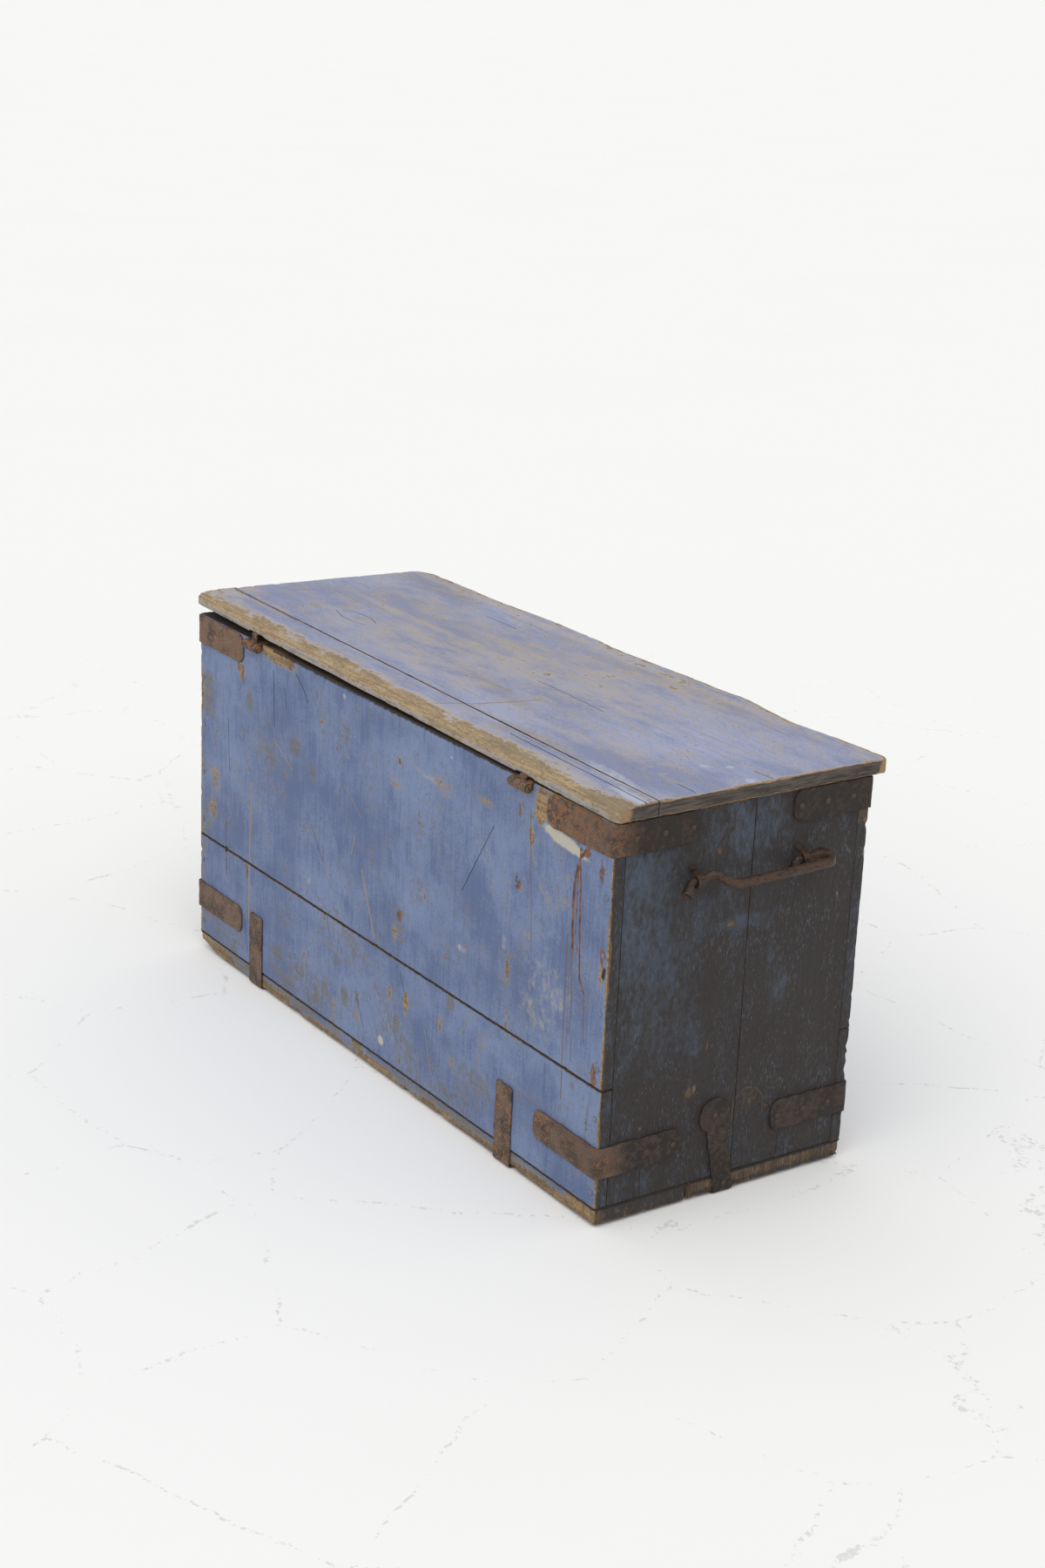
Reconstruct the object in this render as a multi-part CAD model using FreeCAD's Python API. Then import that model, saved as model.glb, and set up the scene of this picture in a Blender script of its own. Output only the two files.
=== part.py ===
import FreeCAD, Part

import math
import os

# Old painted trunk of wide softwood planks with forged iron straps, a lid on two eye
# hinges and a forged lifting handle at each end. Millimetres, +Z up. The front faces -Y,
# the hinge side faces +Y, left and right are as seen from the front. X = 0 and Y = 0 are
# the middle of the whole trunk, and Z = 0 is the underside of the straps it stands on.

# Carcass
chest_length = 945.0
chest_depth = 360.0
wall_height = 457.0
side_plank_thickness = 16.0
end_board_thickness = 18.0
bottom_thickness = 21.0
lower_plank_width = 145.0
end_joint_from_back = 193.0
bottom_joint_from_back = 130.0
shrinkage_gap = 0.8
plank_arris = 1.5
corner_arris = 3.0
bottom_arris = 5.0

# Lid: a narrow plank on the hinge side and a wide one, wound out of flat so that the
# right end of the hinge side stands clear of the wall
lid_thickness = 18.0
lid_back_plank_width = 56.0
lid_left_overhang = 3.0
lid_right_overhang = 14.0
lid_seat_clearance = 0.3
lid_lift_right = 10.0
lid_arris = 1.5
lid_front_round = 3.0
lid_back_round = 7.0
lid_back_wear_width = 27.0
lid_back_wear_depth = 4.0
lid_corner_radius = 10.0
lid_worn_corner_radius = 36.0
# how far the worn front edge stands out of the wall: share of the straight run between
# the rounded corners, from the left, and millimetres
lid_front_wear = [
    (0.0, 23.0),
    (0.09, 19.0),
    (0.15, 12.0),
    (0.23, 18.0),
    (0.275, 24.0),
    (0.31, 19.5),
    (0.38, 18.0),
    (0.52, 11.0),
    (0.68, 13.0),
    (0.84, 4.0),
    (1.0, 2.5),
]
batten_width = 45.0
batten_thickness = 20.0
batten_arris = 3.0
batten_end_gap = 12.0
batten_wall_gap = 10.0
batten_seat_clearance = 0.3

# Straps
strap_thickness = 2.5
strap_bend_radius = 2.5
corner_strap_width = 38.0
corner_strap_side_arm = 123.0
corner_strap_end_arm = 114.0
corner_strap_tip_radius = 13.0
corner_strap_top_drop = 1.0
corner_strap_bottom_height = 38.0
base_band_width = 34.0
base_band_height = 80.0
base_band_tip_radius = 4.0
base_band_from_left = 184.5
base_band_from_right = 163.0
end_strap_width = 29.0
end_strap_disc_radius = 22.0
end_strap_disc_height = 79.0
end_strap_disc_from_back = 163.0
end_strap_lean = 19.0
end_strap_tail = 60.0

# Hinges
hinge_from_left = 172.0
hinge_from_right = 154.0
hinge_width = 36.0
hinge_pin_radius = 3.4
hinge_pin_clearance = 0.08
hinge_pin_head_radius = 4.6
hinge_pin_head_thickness = 1.8
hinge_pin_head_arris = 0.9
hinge_stand_off = 0.3
knuckle_width = 12.0
knuckle_gap = 0.4
hinge_wall_leg_length = 90.0
hinge_lid_leaf = 150.0
hinge_tip_radius = 12.0
hinge_neck = 4.0
hinge_recess_clearance = 0.2

# Handles: one forged rod in two flat-iron staples at each end. Places along the end are
# measured from the hinge side, heights from the foot of the walls.
rod_radius = 4.75
rod_flats = 10
rod_bend_radius = 9.0
rod_axis_below_strap = 40.0
rod_axis_stand_off = 12.0
grip_reach = 18.0
grip_droop = 3.5
grip_start_run = 32.0
grip_end_from_back = 283.5
hump_rise = 8.0
hump_run = 16.0
near_tip_run = 13.5
near_tip_drop = 13.0
near_tip_reach = 4.0
near_tip_flare = 0.9
near_tip_flare_length = 4.0
far_tip_drop = 17.0
handle_rest_clearance = 0.3
staple_bend_gap = 4.5
near_staple_from_back = 108.0
far_staple_from_back = 257.0
staple_width = 9.0
staple_thickness = 2.6
staple_clearance = 0.4
staple_leg_spread = 10.0
staple_clench = 18.0
staple_slot_clearance = 0.1

# Nails
nail_head_radius = 4.5
nail_head_sides = 6
nail_head_height = 1.6
nail_shank = 3.0
nail_hole_clearance = 0.2
strap_nail_length = 14.0
strap_nail_first = 28.0
strap_nail_pitch = 38.0
strap_nail_count = 3
band_nail_from_tip = 10.0
leaf_nail_first = 34.0
leaf_nail_pitch = 48.0
leaf_nail_count = 3
leaf_nail_length = 13.0
wall_leg_nail_first = 30.0
wall_leg_nail_pitch = 42.0
corner_nail_length = 45.0
corner_nail_heights = [18.0, 108.0, 168.0, 235.0, 303.0, 370.0]
bottom_nail_length = 52.0
bottom_nail_from_end = 42.0
bottom_nail_beside_band = 12.0
bottom_nails_between_bands = 4
bottom_end_nail_from_side = 62.0
batten_nail_length = 32.0
batten_nail_count = 4
batten_nail_from_tip = 26.0

# Everything below is worked out from the values above
X = FreeCAD.Vector(1, 0, 0)
Y = FreeCAD.Vector(0, 1, 0)
Z = FreeCAD.Vector(0, 0, 1)
TOUCH = 1e-4
# how far a cutting block runs past the face that it cuts
cut_past = 1.0

knuckle_radius = hinge_pin_radius + hinge_pin_clearance + strap_thickness
hinge_reach = hinge_stand_off + 2 * knuckle_radius
front_reach = max(reach for share, reach in lid_front_wear)
carcass_y = (front_reach - hinge_reach) / 2
back_y = carcass_y + chest_depth / 2
front_y = carcass_y - chest_depth / 2
left_x = -chest_length / 2
right_x = chest_length / 2
bottom_z = strap_thickness
wall_z = bottom_z + bottom_thickness
wall_top = wall_z + wall_height
hinge_y = back_y + hinge_stand_off + knuckle_radius
hinge_z = wall_top - knuckle_radius
lid_left_x = left_x - lid_left_overhang
lid_right_x = right_x + lid_right_overhang
hinge_places = {"left": left_x + hinge_from_left, "right": right_x - hinge_from_right}
half_hinge = hinge_width / 2
top_strap_foot = wall_height - corner_strap_top_drop - corner_strap_width
rod_axis_height = top_strap_foot - rod_axis_below_strap
half_knuckle = knuckle_width / 2
rod_x = left_x - rod_axis_stand_off
rod_z = wall_z + rod_axis_height


def vec(x, y, z):
    return FreeCAD.Vector(x, y, z)


def block(x0, x1, y0, y1, z0, z1):
    low = vec(min(x0, x1), min(y0, y1), min(z0, z1))
    return Part.makeBox(abs(x1 - x0), abs(y1 - y0), abs(z1 - z0), low)


def edges_where(shape, wanted):
    # the edges whose middle point and direction pass the test
    chosen = []
    for edge in shape.Edges:
        halfway = (edge.FirstParameter + edge.LastParameter) / 2
        if wanted(edge.valueAt(halfway), edge.tangentAt(halfway)):
            chosen.append(edge)
    return chosen


def rounded(shape, radius, wanted):
    return shape.makeFillet(radius, edges_where(shape, wanted))


def worn(shape, width, wanted):
    # takes a narrow flat off the chosen edges
    return shape.makeChamfer(width, edges_where(shape, wanted))


def fuse_all(shapes):
    return shapes[0].multiFuse(shapes[1:]).removeSplitter()


def mirrored_to_front(shape):
    return shape.mirror(vec(0, carcass_y, 0), Y)


def turned_to_right(shape):
    # the same piece at the other end of the trunk, turned half way round
    copy = shape.copy()
    copy.rotate(vec(0, carcass_y, 0), Z, 180)
    return copy


def corner_arc(before, corner, after, radius):
    # start, middle and end of the arc that rounds one corner of a path
    if radius <= 0:
        return corner, None, corner
    into = (corner - before).normalize()
    out = (after - corner).normalize()
    turn = into.getAngle(out)
    if turn < 1e-3:
        return corner, None, corner
    reach = radius * math.tan(turn / 2)
    inward = (out - into).normalize()
    middle = corner + inward * (radius / math.cos(turn / 2) - radius)
    return corner - into * reach, middle, corner + out * reach


def arc_edges(points, closed):
    # lines and arcs through (point, corner radius) pairs
    count = len(points)
    corners = []
    for index in range(count):
        corner, radius = points[index]
        if not closed and index in (0, count - 1):
            corners.append((corner, None, corner))
            continue
        after = points[(index + 1) % count][0]
        corners.append(corner_arc(points[index - 1][0], corner, after, radius))
    edges = []
    for index in range(count):
        start, middle, end = corners[index]
        if middle is not None:
            edges.append(Part.Arc(start, middle, end).toShape())
        if not closed and index == count - 1:
            break
        following = corners[(index + 1) % count][0]
        if (following - end).Length > TOUCH:
            edges.append(Part.LineSegment(end, following).toShape())
    return edges


def prism(points, direction):
    return Part.Face(Part.Wire(arc_edges(points, True))).extrude(direction)


# Nails: square tapered shanks under low hammered heads of a few facets


def pyramid(radius, sides, height):
    # a solid pyramid on the ring of corners, its point at the height
    corners = []
    for step in range(sides):
        angle = 2 * math.pi * (step + 0.5) / sides
        corners.append(vec(radius * math.cos(angle), radius * math.sin(angle), 0))
    corners.append(corners[0])
    tip = vec(0, 0, height)
    faces = [Part.Face(Part.makePolygon(corners))]
    for a, b in zip(corners, corners[1:]):
        faces.append(Part.Face(Part.makePolygon([a, b, tip, a])))
    return Part.Solid(Part.Shell(faces))


def nail(seat, direction, length):
    # the head lies on the seat point and the shank runs in the direction
    head = pyramid(nail_head_radius, nail_head_sides, nail_head_height)
    shank = pyramid(nail_shank / math.sqrt(2), 4, -length)
    whole = head.fuse(shank)
    whole.Placement = FreeCAD.Placement(seat, FreeCAD.Rotation(Z, direction * -1))
    return whole


def nail_hole(seat, direction):
    # the square hole punched through a strap
    half = nail_shank / 2 + nail_hole_clearance
    hole = block(-half, half, -half, half, -strap_thickness - cut_past, cut_past)
    hole.Placement = FreeCAD.Placement(seat, FreeCAD.Rotation(Z, direction * -1))
    return hole


def punched(strap, seats):
    for seat, direction in seats:
        strap = strap.cut(nail_hole(seat, direction))
    return strap


def nails_at(seats, length):
    return [nail(seat, direction, length) for seat, direction in seats]


# Carcass: the long planks lap over the ends of the upright boards


def side_plank(z0, z1):
    # of the hinge side; its outer face is the back of the trunk
    inner_y = back_y - side_plank_thickness
    plank = block(left_x, right_x, inner_y, back_y, z0, z1)
    plank = worn(plank, corner_arris, lambda p, d: abs(d.z) > 0.9 and p.y > back_y - TOUCH)
    return worn(plank, plank_arris, lambda p, d: abs(d.x) > 0.9 and p.y > back_y - TOUCH)


def hinge_notch(hinge_x):
    half = half_hinge + hinge_recess_clearance
    inner_y = back_y - side_plank_thickness
    floor_z = wall_top - strap_thickness
    return block(
        hinge_x - half,
        hinge_x + half,
        inner_y - cut_past,
        back_y + cut_past,
        floor_z,
        wall_top + cut_past,
    )


def end_board(back_edge, front_edge, staple_from_back):
    # an upright board of the left end; its edges are distances from the hinge side
    inner_x = left_x + end_board_thickness
    board = block(left_x, inner_x, back_y - front_edge, back_y - back_edge, wall_z, wall_top)
    board = worn(board, plank_arris, lambda p, d: abs(d.z) > 0.9 and p.x < left_x + TOUCH)
    middle = back_y - staple_from_back
    half = staple_width / 2 + staple_slot_clearance
    near = staple_leg_spread - staple_slot_clearance
    far = staple_leg_spread + staple_thickness + staple_slot_clearance
    for side in (-1, 1):
        z0 = rod_z + side * near
        z1 = rod_z + side * far
        x0 = left_x - cut_past
        x1 = inner_x + cut_past
        board = board.cut(block(x0, x1, middle - half, middle + half, z0, z1))
    return board


def bottom_plank(joint_y, outer_y):
    plank = block(left_x, right_x, joint_y, outer_y, bottom_z, wall_z)
    return rounded(
        plank,
        bottom_arris,
        lambda p, d: p.z < bottom_z + TOUCH and abs(p.y - joint_y) > TOUCH,
    )


# Straps


def corner_strap(z0):
    # round the corner of the hinge side and the left end
    along_side = left_x + corner_strap_side_arm
    along_end = back_y - corner_strap_end_arm
    outer = strap_bend_radius + strap_thickness
    outline = [
        (vec(along_side, back_y, z0), 0),
        (vec(left_x, back_y, z0), strap_bend_radius),
        (vec(left_x, along_end, z0), 0),
        (vec(left_x - strap_thickness, along_end, z0), 0),
        (vec(left_x - strap_thickness, back_y + strap_thickness, z0), outer),
        (vec(along_side, back_y + strap_thickness, z0), 0),
    ]
    strap = prism(outline, Z * corner_strap_width)
    return rounded(
        strap,
        corner_strap_tip_radius,
        lambda p, d: (abs(d.y) > 0.9 and abs(p.x - along_side) < TOUCH)
        or (abs(d.x) > 0.9 and abs(p.y - along_end) < TOUCH),
    )


def corner_strap_seats(z0):
    z = z0 + corner_strap_width / 2
    seats = []
    for step in range(strap_nail_count):
        reach = strap_nail_first + step * strap_nail_pitch
        seats.append((vec(left_x + reach, back_y + strap_thickness, z), Y * -1))
    for step in range(strap_nail_count):
        reach = strap_nail_first + step * strap_nail_pitch
        if reach < corner_strap_end_arm - nail_head_radius:
            seats.append((vec(left_x - strap_thickness, back_y - reach, z), X))
    return seats


def base_band(x):
    # up both long sides and under the bottom; the trunk stands on it
    x0 = x - base_band_width / 2
    top = wall_z + base_band_height
    outer = strap_bend_radius + strap_thickness
    outline = [
        (vec(x0, back_y, top), 0),
        (vec(x0, back_y, bottom_z), strap_bend_radius),
        (vec(x0, front_y, bottom_z), strap_bend_radius),
        (vec(x0, front_y, top), 0),
        (vec(x0, front_y - strap_thickness, top), 0),
        (vec(x0, front_y - strap_thickness, 0), outer),
        (vec(x0, back_y + strap_thickness, 0), outer),
        (vec(x0, back_y + strap_thickness, top), 0),
    ]
    band = prism(outline, X * base_band_width)
    return rounded(
        band,
        base_band_tip_radius,
        lambda p, d: abs(d.y) > 0.9 and p.z > top - TOUCH,
    )


def base_band_seats(x):
    upper = wall_z + base_band_height - band_nail_from_tip
    lower = bottom_z + bottom_thickness / 2
    seats = []
    for z in (upper, lower):
        seats.append((vec(x, back_y + strap_thickness, z), Y * -1))
        seats.append((vec(x, front_y - strap_thickness, z), Y))
    return seats


def end_strap():
    # a leaning stem with a round head on the left end, its tail turned under the bottom
    foot_y = back_y - end_strap_disc_from_back - end_strap_lean
    head_y = back_y - end_strap_disc_from_back
    head_z = wall_z + end_strap_disc_height
    half = end_strap_width / 2
    outer = strap_bend_radius + strap_thickness
    shoulder_z = bottom_z + outer
    y0 = foot_y - half
    outline = [
        (vec(left_x, y0, shoulder_z), 0),
        (vec(left_x, y0, bottom_z), strap_bend_radius),
        (vec(left_x + end_strap_tail, y0, bottom_z), 0),
        (vec(left_x + end_strap_tail, y0, 0), 0),
        (vec(left_x - strap_thickness, y0, 0), outer),
        (vec(left_x - strap_thickness, y0, shoulder_z), 0),
    ]
    tail = prism(outline, Y * end_strap_width)
    stem = prism(
        [
            (vec(left_x, foot_y - half, shoulder_z), 0),
            (vec(left_x, foot_y + half, shoulder_z), 0),
            (vec(left_x, head_y + half, head_z), 0),
            (vec(left_x, head_y - half, head_z), 0),
        ],
        X * -strap_thickness,
    )
    disc = Part.makeCylinder(end_strap_disc_radius, strap_thickness, vec(left_x, head_y, head_z), X * -1)
    return fuse_all([tail, stem, disc])


def end_strap_seats():
    head_y = back_y - end_strap_disc_from_back
    foot_y = head_y - end_strap_lean
    face_x = left_x - strap_thickness
    low_z = bottom_z + bottom_thickness / 2
    return [
        (vec(face_x, head_y, wall_z + end_strap_disc_height), X),
        (vec(face_x, foot_y, low_z), X),
    ]


# Hinges: a strap over the top of the wall and one under the lid, rolled round one pin


def along_x_rod(radius, x0, x1, y, z):
    return Part.makeCylinder(radius, x1 - x0, vec(x0, y, z), X)


def hinge_bore(hinge_x):
    radius = hinge_pin_radius + hinge_pin_clearance
    return along_x_rod(radius, hinge_x - hinge_width, hinge_x + hinge_width, hinge_y, hinge_z)


def hinge_wall_strap(hinge_x):
    inner_y = back_y - side_plank_thickness
    x0 = hinge_x - half_hinge
    x1 = hinge_x + half_hinge
    foot_z = wall_top - hinge_wall_leg_length
    over = block(x0, x1, inner_y - strap_thickness, hinge_y, wall_top - strap_thickness, wall_top)
    leg = block(x0, x1, inner_y - strap_thickness, inner_y, foot_z, wall_top)
    strap = over.fuse(leg).removeSplitter()
    strap = rounded(
        strap,
        strap_bend_radius,
        lambda p, d: abs(d.x) > 0.9 and p.z > wall_top - TOUCH and p.y < inner_y,
    )
    strap = rounded(strap, hinge_tip_radius, lambda p, d: abs(d.y) > 0.9 and p.z < foot_z + TOUCH)
    gap = half_knuckle + knuckle_gap
    slot = block(
        hinge_x - gap,
        hinge_x + gap,
        back_y - hinge_neck,
        hinge_y + knuckle_radius,
        wall_top - strap_thickness - cut_past,
        wall_top + cut_past,
    )
    strap = strap.cut(slot)
    left_eye = along_x_rod(knuckle_radius, x0, hinge_x - gap, hinge_y, hinge_z)
    right_eye = along_x_rod(knuckle_radius, hinge_x + gap, x1, hinge_y, hinge_z)
    strap = fuse_all([strap, left_eye, right_eye]).cut(hinge_bore(hinge_x))
    return punched(strap, hinge_wall_seats(hinge_x))


def hinge_wall_seats(hinge_x):
    face_y = back_y - side_plank_thickness - strap_thickness
    seats = []
    for step in range(2):
        z = wall_top - wall_leg_nail_first - step * wall_leg_nail_pitch
        seats.append((vec(hinge_x, face_y, z), Y))
    return seats


def hinge_pin(hinge_x):
    reach = half_hinge + knuckle_gap
    pin = along_x_rod(hinge_pin_radius, hinge_x - reach, hinge_x + reach, hinge_y, hinge_z)
    thick = hinge_pin_head_thickness
    left = along_x_rod(hinge_pin_head_radius, hinge_x - reach - thick, hinge_x - reach, hinge_y, hinge_z)
    right = along_x_rod(hinge_pin_head_radius, hinge_x + reach, hinge_x + reach + thick, hinge_y, hinge_z)
    pin = fuse_all([pin, left, right])
    tips = hinge_x - reach - thick, hinge_x + reach + thick
    return worn(pin, hinge_pin_head_arris, lambda p, d: min(abs(p.x - tip) for tip in tips) < TOUCH)


def lid_lift(x):
    return lid_lift_right * (x - left_x) / chest_length


def lid_point(x, from_back, height):
    # a place on the lid: distance from the hinge side and height above its underside
    lift = lid_lift(x) * (1 - from_back / chest_depth)
    return vec(x, back_y - from_back, wall_top + lid_seat_clearance + lift + height)


def on_lid(shape, x):
    # seats a piece made flat, with Y = 0 at the hinge side and Z = 0 at the lid's underside
    lean = math.degrees(math.atan2(lid_lift(x), chest_depth))
    seat = FreeCAD.Placement(lid_point(x, 0, 0), FreeCAD.Rotation(X, lean))
    seated = shape.copy()
    seated.Placement = seat.multiply(shape.Placement)
    return seated


def hinge_lid_strap(hinge_x):
    tip_y = -hinge_lid_leaf
    leaf = block(-half_hinge, half_hinge, tip_y, -hinge_neck, 0, strap_thickness)
    leaf = rounded(leaf, hinge_tip_radius, lambda p, d: abs(d.z) > 0.9 and p.y < tip_y + TOUCH)
    web_reach = hinge_stand_off + strap_thickness
    neck = block(-half_knuckle, half_knuckle, -hinge_neck, web_reach, 0, strap_thickness)
    for seat, direction in leaf_seats():
        leaf = leaf.cut(nail_hole(seat, direction))
    leaf = on_lid(leaf.fuse(neck), hinge_x)
    x0 = hinge_x - half_knuckle
    x1 = hinge_x + half_knuckle
    web_y = back_y + hinge_stand_off
    web_top = lid_point(hinge_x, 0, strap_thickness).z
    web = block(x0, x1, web_y, web_y + strap_thickness, hinge_z, web_top)
    eye = along_x_rod(knuckle_radius, x0, x1, hinge_y, hinge_z)
    return fuse_all([leaf, web, eye]).cut(hinge_bore(hinge_x))


def leaf_seats():
    seats = []
    for step in range(leaf_nail_count):
        reach = leaf_nail_first + step * leaf_nail_pitch
        seats.append((vec(0, -reach, 0), Z))
    return seats


def leaf_recess(hinge_x):
    half = half_hinge + hinge_recess_clearance
    length = hinge_lid_leaf + hinge_recess_clearance
    pocket = block(-half, half, -length, strap_thickness, -strap_thickness, strap_thickness)
    return on_lid(pocket, hinge_x)


# Lid


def lid_wire(x, outline):
    # a section of a lid plank, its rounded corners planed in two flats each
    section = []
    for index, (corner, radius) in enumerate(outline):
        before = outline[index - 1][0]
        after = outline[(index + 1) % len(outline)][0]
        for point in corner_arc(before, corner, after, radius):
            if point is not None and (not section or (point - section[-1]).Length > TOUCH):
                section.append(point)
    section.append(section[0])
    return Part.makePolygon([lid_point(x, point.x, point.y) for point in section])


def lid_corner(x, y, into_x, into_y, radius):
    # what is worn off outside the round of one corner of the lid
    over = radius / 2
    z0 = wall_top - lid_thickness
    height = 3 * lid_thickness + lid_lift_right
    waste = block(
        x - into_x * over,
        x + into_x * radius,
        y - into_y * over,
        y + into_y * radius,
        z0,
        z0 + height,
    )
    centre = vec(x + into_x * radius, y + into_y * radius, z0)
    return waste.cut(Part.makeCylinder(radius, height, centre, Z))


def lid_back_plank():
    joint = lid_back_plank_width - shrinkage_gap / 2
    outline = [
        (vec(0, 0, 0), lid_arris),
        (vec(joint, 0, 0), 0),
        (vec(joint, lid_thickness, 0), lid_arris),
        (vec(lid_back_wear_width, lid_thickness, 0), lid_back_wear_width / 2),
        (vec(0, lid_thickness - lid_back_wear_depth, 0), lid_back_round),
    ]
    plank = Part.makeLoft([lid_wire(x, outline) for x in (lid_left_x, lid_right_x)], True, True)
    plank = plank.cut(lid_corner(lid_left_x, back_y, 1, -1, lid_corner_radius))
    return plank.cut(lid_corner(lid_right_x, back_y, -1, -1, lid_corner_radius))


def lid_main_plank():
    # lofted through the stations of its worn front edge
    joint = lid_back_plank_width + shrinkage_gap / 2
    worn_x0 = lid_left_x + lid_corner_radius
    worn_x1 = lid_right_x - lid_worn_corner_radius
    stations = [(lid_left_x, lid_front_wear[0][1])]
    for share, reach in lid_front_wear:
        stations.append((worn_x0 + share * (worn_x1 - worn_x0), reach))
    stations.append((lid_right_x, lid_front_wear[-1][1]))
    wires = []
    for x, reach in stations:
        edge = chest_depth + reach
        outline = [
            (vec(joint, 0, 0), 0),
            (vec(edge, 0, 0), 0),
            (vec(edge, lid_thickness, 0), lid_front_round),
            (vec(joint, lid_thickness, 0), lid_arris),
        ]
        wires.append(lid_wire(x, outline))
    plank = Part.makeLoft(wires, True, True)
    left_y = front_y - stations[0][1]
    right_y = front_y - stations[-1][1]
    plank = plank.cut(lid_corner(lid_left_x, left_y, 1, 1, lid_corner_radius))
    return plank.cut(lid_corner(lid_right_x, right_y, -1, 1, lid_worn_corner_radius))


def batten():
    half = batten_width / 2
    y0 = -(chest_depth - side_plank_thickness - batten_wall_gap)
    y1 = -(side_plank_thickness + batten_wall_gap)
    top = -batten_seat_clearance
    bar = block(-half, half, y0, y1, top - batten_thickness, top)
    return worn(bar, batten_arris, lambda p, d: p.z < top - batten_thickness + TOUCH)


def batten_seats():
    y0 = -(chest_depth - side_plank_thickness - batten_wall_gap - batten_nail_from_tip)
    y1 = -(side_plank_thickness + batten_wall_gap + batten_nail_from_tip)
    z = -batten_seat_clearance - batten_thickness
    pitch = (y1 - y0) / (batten_nail_count - 1)
    offset = batten_width / 5
    seats = []
    for step in range(batten_nail_count):
        side = offset if step % 2 else -offset
        seats.append((vec(side, y0 + step * pitch, z), Z))
    return seats


# Handle: one rod through both staples. At the hinge side its end is turned down outside
# the staple; at the front it runs past the staple, curls back through it, and the turned
# end rests on the board and holds the grip off the wall.


def at_end(from_back, reach, height):
    # a place on the left end: out from the boards and up from the foot of the walls
    return vec(left_x - reach, back_y - from_back, wall_z + height)


def handle():
    axis = rod_axis_stand_off
    level = rod_axis_height
    half = staple_width / 2
    near_turn = near_staple_from_back - half - staple_bend_gap
    rise = near_staple_from_back + half + staple_bend_gap * 0.8
    hump = near_staple_from_back + hump_run
    grip_start = near_staple_from_back + grip_start_run
    far_turn = far_staple_from_back - half - rod_radius - staple_bend_gap / 2
    out = axis + grip_reach
    rest = rod_radius + handle_rest_clearance
    curl = grip_reach / 2
    corners = [
        (at_end(near_turn - near_tip_run, axis + near_tip_reach, level - near_tip_drop), 0),
        (at_end(near_turn, axis, level), rod_bend_radius),
        (at_end(rise, axis, level), rod_bend_radius),
        (at_end(hump, axis, level + hump_rise), rod_bend_radius * 0.8),
        (at_end(grip_start, out, level - grip_droop), rod_bend_radius * 1.5),
        (at_end(grip_end_from_back, out, level), curl),
        (at_end(grip_end_from_back, axis, level), curl),
        (at_end(far_turn, axis, level), rod_radius * 1.3),
        (at_end(far_turn - 1, rest, level - far_tip_drop), 0),
    ]
    route = arc_edges(corners, False)
    heading = (corners[1][0] - corners[0][0]).normalize()
    flare = tip_of_rod(corners[0][0], heading)
    return fuse_all([flare] + hammered_rod(corners[0][0], heading, route))


def rod_section(centre, heading, radius):
    # the rod was drawn down under the hammer, so it is round in narrow flats
    corners = []
    for step in range(rod_flats + 1):
        angle = 2 * math.pi * (step + 0.5) / rod_flats
        corners.append(vec(radius * math.cos(angle), radius * math.sin(angle), 0))
    section = Part.makePolygon(corners)
    section.Placement = FreeCAD.Placement(centre, FreeCAD.Rotation(Z, heading))
    return section


def hammered_rod(start, heading, route):
    # carries the section along the route's straights and bends
    section = Part.Face(rod_section(start, heading, rod_radius))
    runs = []
    for edge in route:
        begin = edge.valueAt(edge.FirstParameter)
        if isinstance(edge.Curve, Part.Line):
            step = edge.valueAt(edge.LastParameter) - begin
            runs.append(section.extrude(step))
            section.translate(step)
        else:
            turn = math.degrees(edge.LastParameter - edge.FirstParameter)
            runs.append(section.revolve(edge.Curve.Center, edge.Curve.Axis, turn))
            section.rotate(edge.Curve.Center, edge.Curve.Axis, turn)
    return runs


def tip_of_rod(start, heading):
    # the upset end that keeps the handle from drawing out of its staple
    face = rod_section(start, heading, rod_radius + near_tip_flare)
    neck = rod_section(start + heading * near_tip_flare_length, heading, rod_radius)
    return Part.makeLoft([face, neck], True, True)


def staple(from_back):
    # a flat strip round the rod, its legs through the board and clenched inside
    inner = rod_radius + staple_clearance
    outer = inner + staple_thickness
    board = end_board_thickness
    low = staple_leg_spread
    high = staple_leg_spread + staple_thickness
    tip = high + staple_clench
    deep = board + staple_thickness
    side = from_back + staple_width / 2

    def place(reach, rise):
        return at_end(side, reach, rod_axis_height + rise)

    def touch(radius, spread):
        # where the straight leg meets the round of the eye
        distance = math.hypot(rod_axis_stand_off, spread)
        angle = math.atan2(spread, -rod_axis_stand_off) - math.acos(radius / distance)
        return rod_axis_stand_off + radius * math.cos(angle), radius * math.sin(angle)

    out_reach, out_rise = touch(outer, high)
    in_reach, in_rise = touch(inner, low)
    upper = [(-deep, low), (-deep, tip), (-board, tip), (-board, high), (0, high), (out_reach, out_rise)]
    lower = [(reach, -rise) for reach, rise in reversed(upper)]
    edges = lines([place(*point) for point in upper])
    edges.append(
        Part.Arc(
            place(out_reach, out_rise),
            place(rod_axis_stand_off + outer, 0),
            place(out_reach, -out_rise),
        ).toShape()
    )
    edges += lines([place(*point) for point in lower + [(0, -low), (in_reach, -in_rise)]])
    edges.append(
        Part.Arc(
            place(in_reach, -in_rise),
            place(rod_axis_stand_off + inner, 0),
            place(in_reach, in_rise),
        ).toShape()
    )
    edges += lines([place(in_reach, in_rise), place(0, low), place(-deep, low)])
    return Part.Face(Part.Wire(edges)).extrude(Y * staple_width)


def lines(points):
    return [Part.LineSegment(a, b).toShape() for a, b in zip(points, points[1:])]


# Assembly: every node by name, with the solids that it holds

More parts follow.
